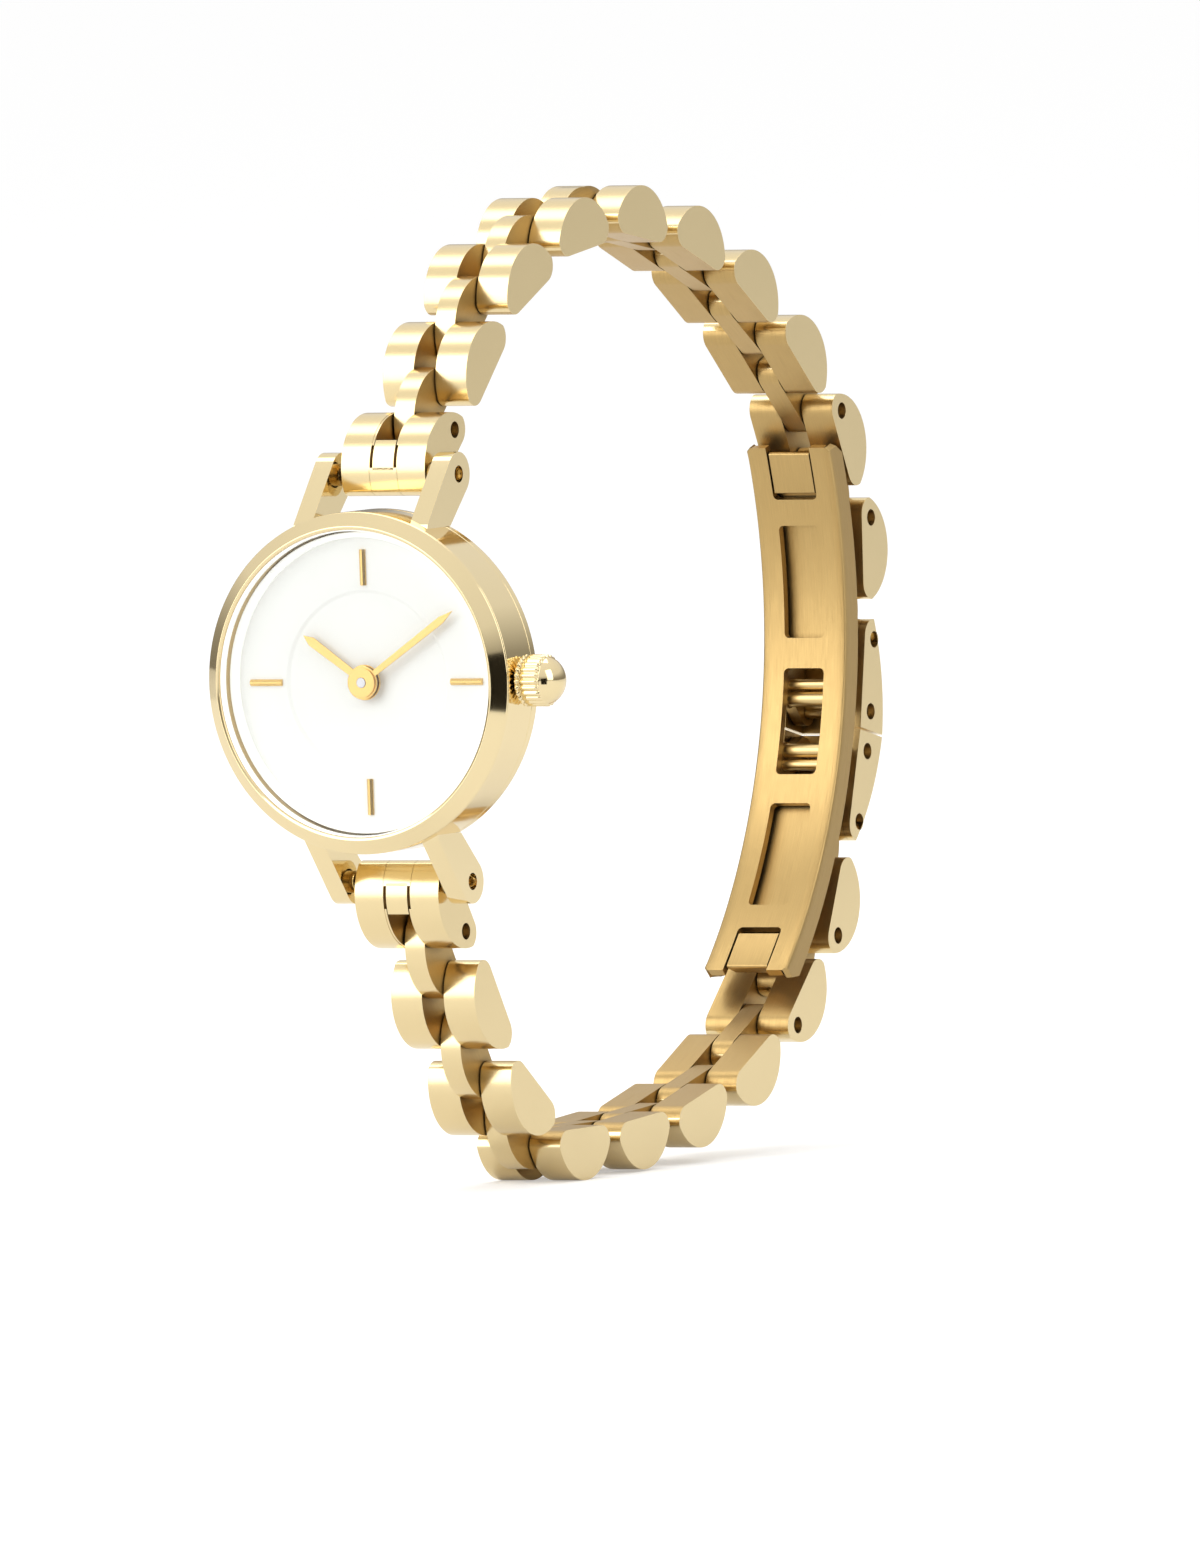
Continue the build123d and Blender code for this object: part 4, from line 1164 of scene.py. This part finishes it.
for word, place in clasp_halves:
    bm = bmesh.new()
    add_block(bm, strip, -LEAF_HALF_WIDTH, LEAF_HALF_WIDTH)
    add_block(bm, knuckle, -WINDOW_HALF, WINDOW_HALF)
    for low, high in both_sides(LEAF_HALF_WIDTH - ARM_WIDTH, LEAF_HALF_WIDTH):
        add_block(bm, hull(eye + heel), low, high, [(*eye_spot, EYE_HOLE_RADIUS)])
        add_block(bm, hull(heel + foot), low + 0.02, high - 0.02)
        add_block(bm, hull(heel + guide), low + 0.01, high - 0.01)
    draft = round_edges(draft_object(bm, "leaf", satin_gold, satin_gold), LEAF_EDGE)
    finished(draft, word + "_leaf_strip", word + "_folding_leaf", word + "_leaf", place)
    bm = bmesh.new()
    crosswise(bm, rod_profile(PIN_RADIUS, PIN_END), 40, *eye_spot)
    crosswise(bm, rod_profile(LATCH_RADIUS, ROD_END), 40, *latch_spot)
    crosswise(bm, rod_profile(GUIDE_RADIUS, ROD_END), 40, *guide_spot)
    finished(draft_object(bm, "rods", rod_gold), word + "_leaf_pin_and_latch", word + "_folding_leaf",
             word + "_leaf_rods", place)

# The two hinge pins of the leaves are short steel rods with a small slope at each end.
# They are riveted in the walls of the plate.
RIVET_END = 2.74
rivet_profile = both_ends([(0.3, RIVET_END - 0.06), (0.24, RIVET_END), (0, RIVET_END)])
bm = bmesh.new()
for side in (1, -1):
    crosswise(bm, rivet_profile, 32, side * hinge_spot[0], hinge_spot[1])
finished(draft_object(bm, "hinges", mirror_gold), "hinge_rivets", "plate",
         "clasp_hinge_pins", clasp_place)

# Inside the head the movement, its holder, the cell, the stem and the seal stay as they
# are in the frame, and get the finish of their own material.
inner_finishes = {
    "movement": plain_finish("movement_alloy", (0.66, 0.63, 0.56, 1.0), 0.35, 1.0),
    "movement_holder": plain_finish("holder_plastic", (0.78, 0.77, 0.73, 1.0), 0.5),
    "button_cell": plain_finish("cell_steel", (0.6, 0.6, 0.6, 1.0), 0.28, 1.0),
    "setting_stem": steel,
    "crown_seal": plain_finish("black_seal", (0.03, 0.03, 0.03, 1.0), 0.6),
}
for node, finish in inner_finishes.items():
    solid = frame["nodes"][node]
    solid.data.materials.clear()
    solid.data.materials.append(finish)

# The stage is a wide pale floor that fades into white, under a soft sky that is dim near
# the horizon. The camera sees both as almost white, and metal sees the sky's greys.
FLOOR_RADIUS = 4.0
FLOOR_MIDDLE_Y = 0.02
floor_z = cad_box[0].z


def stage_piece(bm, name, finish):
    mesh = bpy.data.meshes.new(name)
    bm.to_mesh(mesh)
    bm.free()
    mesh.materials.append(finish)
    piece = bpy.data.objects.new(name, mesh)
    bpy.context.scene.collection.objects.link(piece)
    return piece


floor_finish, surface = new_finish("floor_white")
seen = 0.36 * surface.add("ShaderNodeLightPath", out="Is Camera Ray")
seen = seen + 0.1 * surface.add("ShaderNodeLightPath", out="Is Glossy Ray")
matt = surface.add("ShaderNodeBsdfDiffuse", None, {"Color": (0.7, 0.7, 0.7, 1.0)})
level = surface.add("ShaderNodeCombineColor", None, {0: seen, 1: seen, 2: seen})
glow = surface.add("ShaderNodeEmission", None, {"Color": level, "Strength": 1.0})
close_finish(surface, surface.add("ShaderNodeAddShader", None, {0: matt, 1: glow}))
bm = bmesh.new()
bmesh.ops.create_circle(bm, cap_ends=True, segments=96, radius=FLOOR_RADIUS)
floor = stage_piece(bm, "floor", floor_finish)
floor.location = (0, FLOOR_MIDDLE_Y, floor_z)

world = bpy.data.worlds.new("studio")
bpy.context.scene.world = world
world.use_nodes = True
world.node_tree.nodes.clear()
sky = Socket(world.node_tree)
seen = sky.maths("MAXIMUM", sky.add("ShaderNodeLightPath", out="Is Camera Ray"),
                 sky.add("ShaderNodeLightPath", out="Is Transmission Ray"))
way = sky.add("ShaderNodeTexCoord", out="Generated")
height = sky.add("ShaderNodeSeparateXYZ", None, {0: way}, "Z")
ramp = sky.add("ShaderNodeValToRGB", {"stops": [
    (0.0, (0.5, 0.5, 0.5, 1)), (0.5, (0.24, 0.23, 0.21, 1)), (0.56, (0.34, 0.33, 0.31, 1)),
    (0.68, (0.84, 0.84, 0.84, 1)), (1.0, (1.0, 1.0, 1.0, 1)),
]}, {0: height * 0.5 + 0.5})
mixed = sky.add("ShaderNodeMix", {"data_type": "RGBA"}, {0: seen, 6: ramp, 7: (1, 1, 1, 1)}, 2)
light = sky.add("ShaderNodeBackground", None, {"Color": mixed, "Strength": 1.0})
close_finish(sky, light, "ShaderNodeOutputWorld")

# Two black cards stand on the floor beside the watch, out of the picture. Only glossy
# reflections see them, as dark bands in the polished metal.
CARDS = (("card_right", (0.085, -0.08), 0.05, 0.05), ("card_left", (-0.3, 0.1), 0.05, 0.2))
card_finish, surface = new_finish("card_black")
close_finish(surface, surface.add("ShaderNodeBsdfDiffuse", None, {"Color": (0.02, 0.018, 0.015, 1.0)}))
for name, (x, y), width, tall in CARDS:
    bm = bmesh.new()
    bmesh.ops.create_grid(bm, x_segments=1, y_segments=1, size=0.5)
    bmesh.ops.scale(bm, verts=bm.verts[:], vec=(width, tall, 1))
    facing_watch = Matrix.Rotation(math.atan2(y, x) + math.pi / 2, 3, "Z")
    for turn in (Matrix.Rotation(math.pi / 2, 3, "X"), facing_watch):
        bmesh.ops.rotate(bm, verts=bm.verts[:], cent=(0, 0, 0), matrix=turn)
    bmesh.ops.translate(bm, verts=bm.verts[:], vec=(x, y, floor_z + tall / 2))
    card = stage_piece(bm, name, card_finish)
    card.visible_camera = card.visible_diffuse = card.visible_shadow = card.visible_transmission = False

# Three soft boxes light the watch: a large one from the front left, and smaller ones from
# the right and from above. The camera looks through a long lens, slightly rolled.
LAMP_TARGET = Vector((0, 0.02, 0))


def softbox(name, place, size, power):
    lamp = bpy.data.lights.new(name, "AREA")
    lamp.shape = "RECTANGLE"
    lamp.size, lamp.size_y = size
    lamp.energy = power
    box = bpy.data.objects.new(name, lamp)
    box.location = place
    box.rotation_euler = (LAMP_TARGET - Vector(place)).to_track_quat("-Z", "Y").to_euler()
    bpy.context.scene.collection.objects.link(box)


softbox("key_light", (-0.45, -0.8, 0.35), (0.8, 0.8), 4.6)
softbox("side_light", (0.55, -0.15, 0.25), (0.3, 0.5), 0.8)
softbox("top_light", (-0.1, 0.1, 0.6), (0.6, 0.4), 1.3)

AZIMUTH, ELEVATION, ROLL = math.radians(29.2434), math.radians(3.1254), math.radians(-1.9614)
DISTANCE = 2500.0
FOCAL_PIXELS = 42542.6
PICTURE_WIDTH = 1200.0
SENSOR_WIDTH = 36.0
WATCH_MIDDLE_Y = 20.7
MOVED_RIGHT = 1.8709
MOVED_UP = -6.8724
right = Vector((math.cos(AZIMUTH), math.sin(AZIMUTH), 0))
back = Vector((math.sin(AZIMUTH), -math.cos(AZIMUTH), 0)) * math.cos(ELEVATION)
back.z = math.sin(ELEVATION)
up = back.cross(right)
right, up = math.cos(ROLL) * right + math.sin(ROLL) * up, -math.sin(ROLL) * right + math.cos(ROLL) * up
spot = Vector((0, WATCH_MIDDLE_Y, 0)) + DISTANCE * back + MOVED_RIGHT * right + MOVED_UP * up
camera_data = bpy.data.cameras.new("camera")
camera_data.sensor_fit = "HORIZONTAL"
camera_data.sensor_width = SENSOR_WIDTH
camera_data.lens = FOCAL_PIXELS * SENSOR_WIDTH / PICTURE_WIDTH
camera_data.clip_start = 0.05
camera_data.clip_end = 20.0
camera = bpy.data.objects.new("camera", camera_data)
camera.matrix_world = Matrix.Translation(spot * MM) @ Matrix((right, up, back)).transposed().to_4x4()
bpy.context.scene.collection.objects.link(camera)
bpy.context.scene.camera = camera
bpy.context.scene.view_settings.view_transform = "Standard"
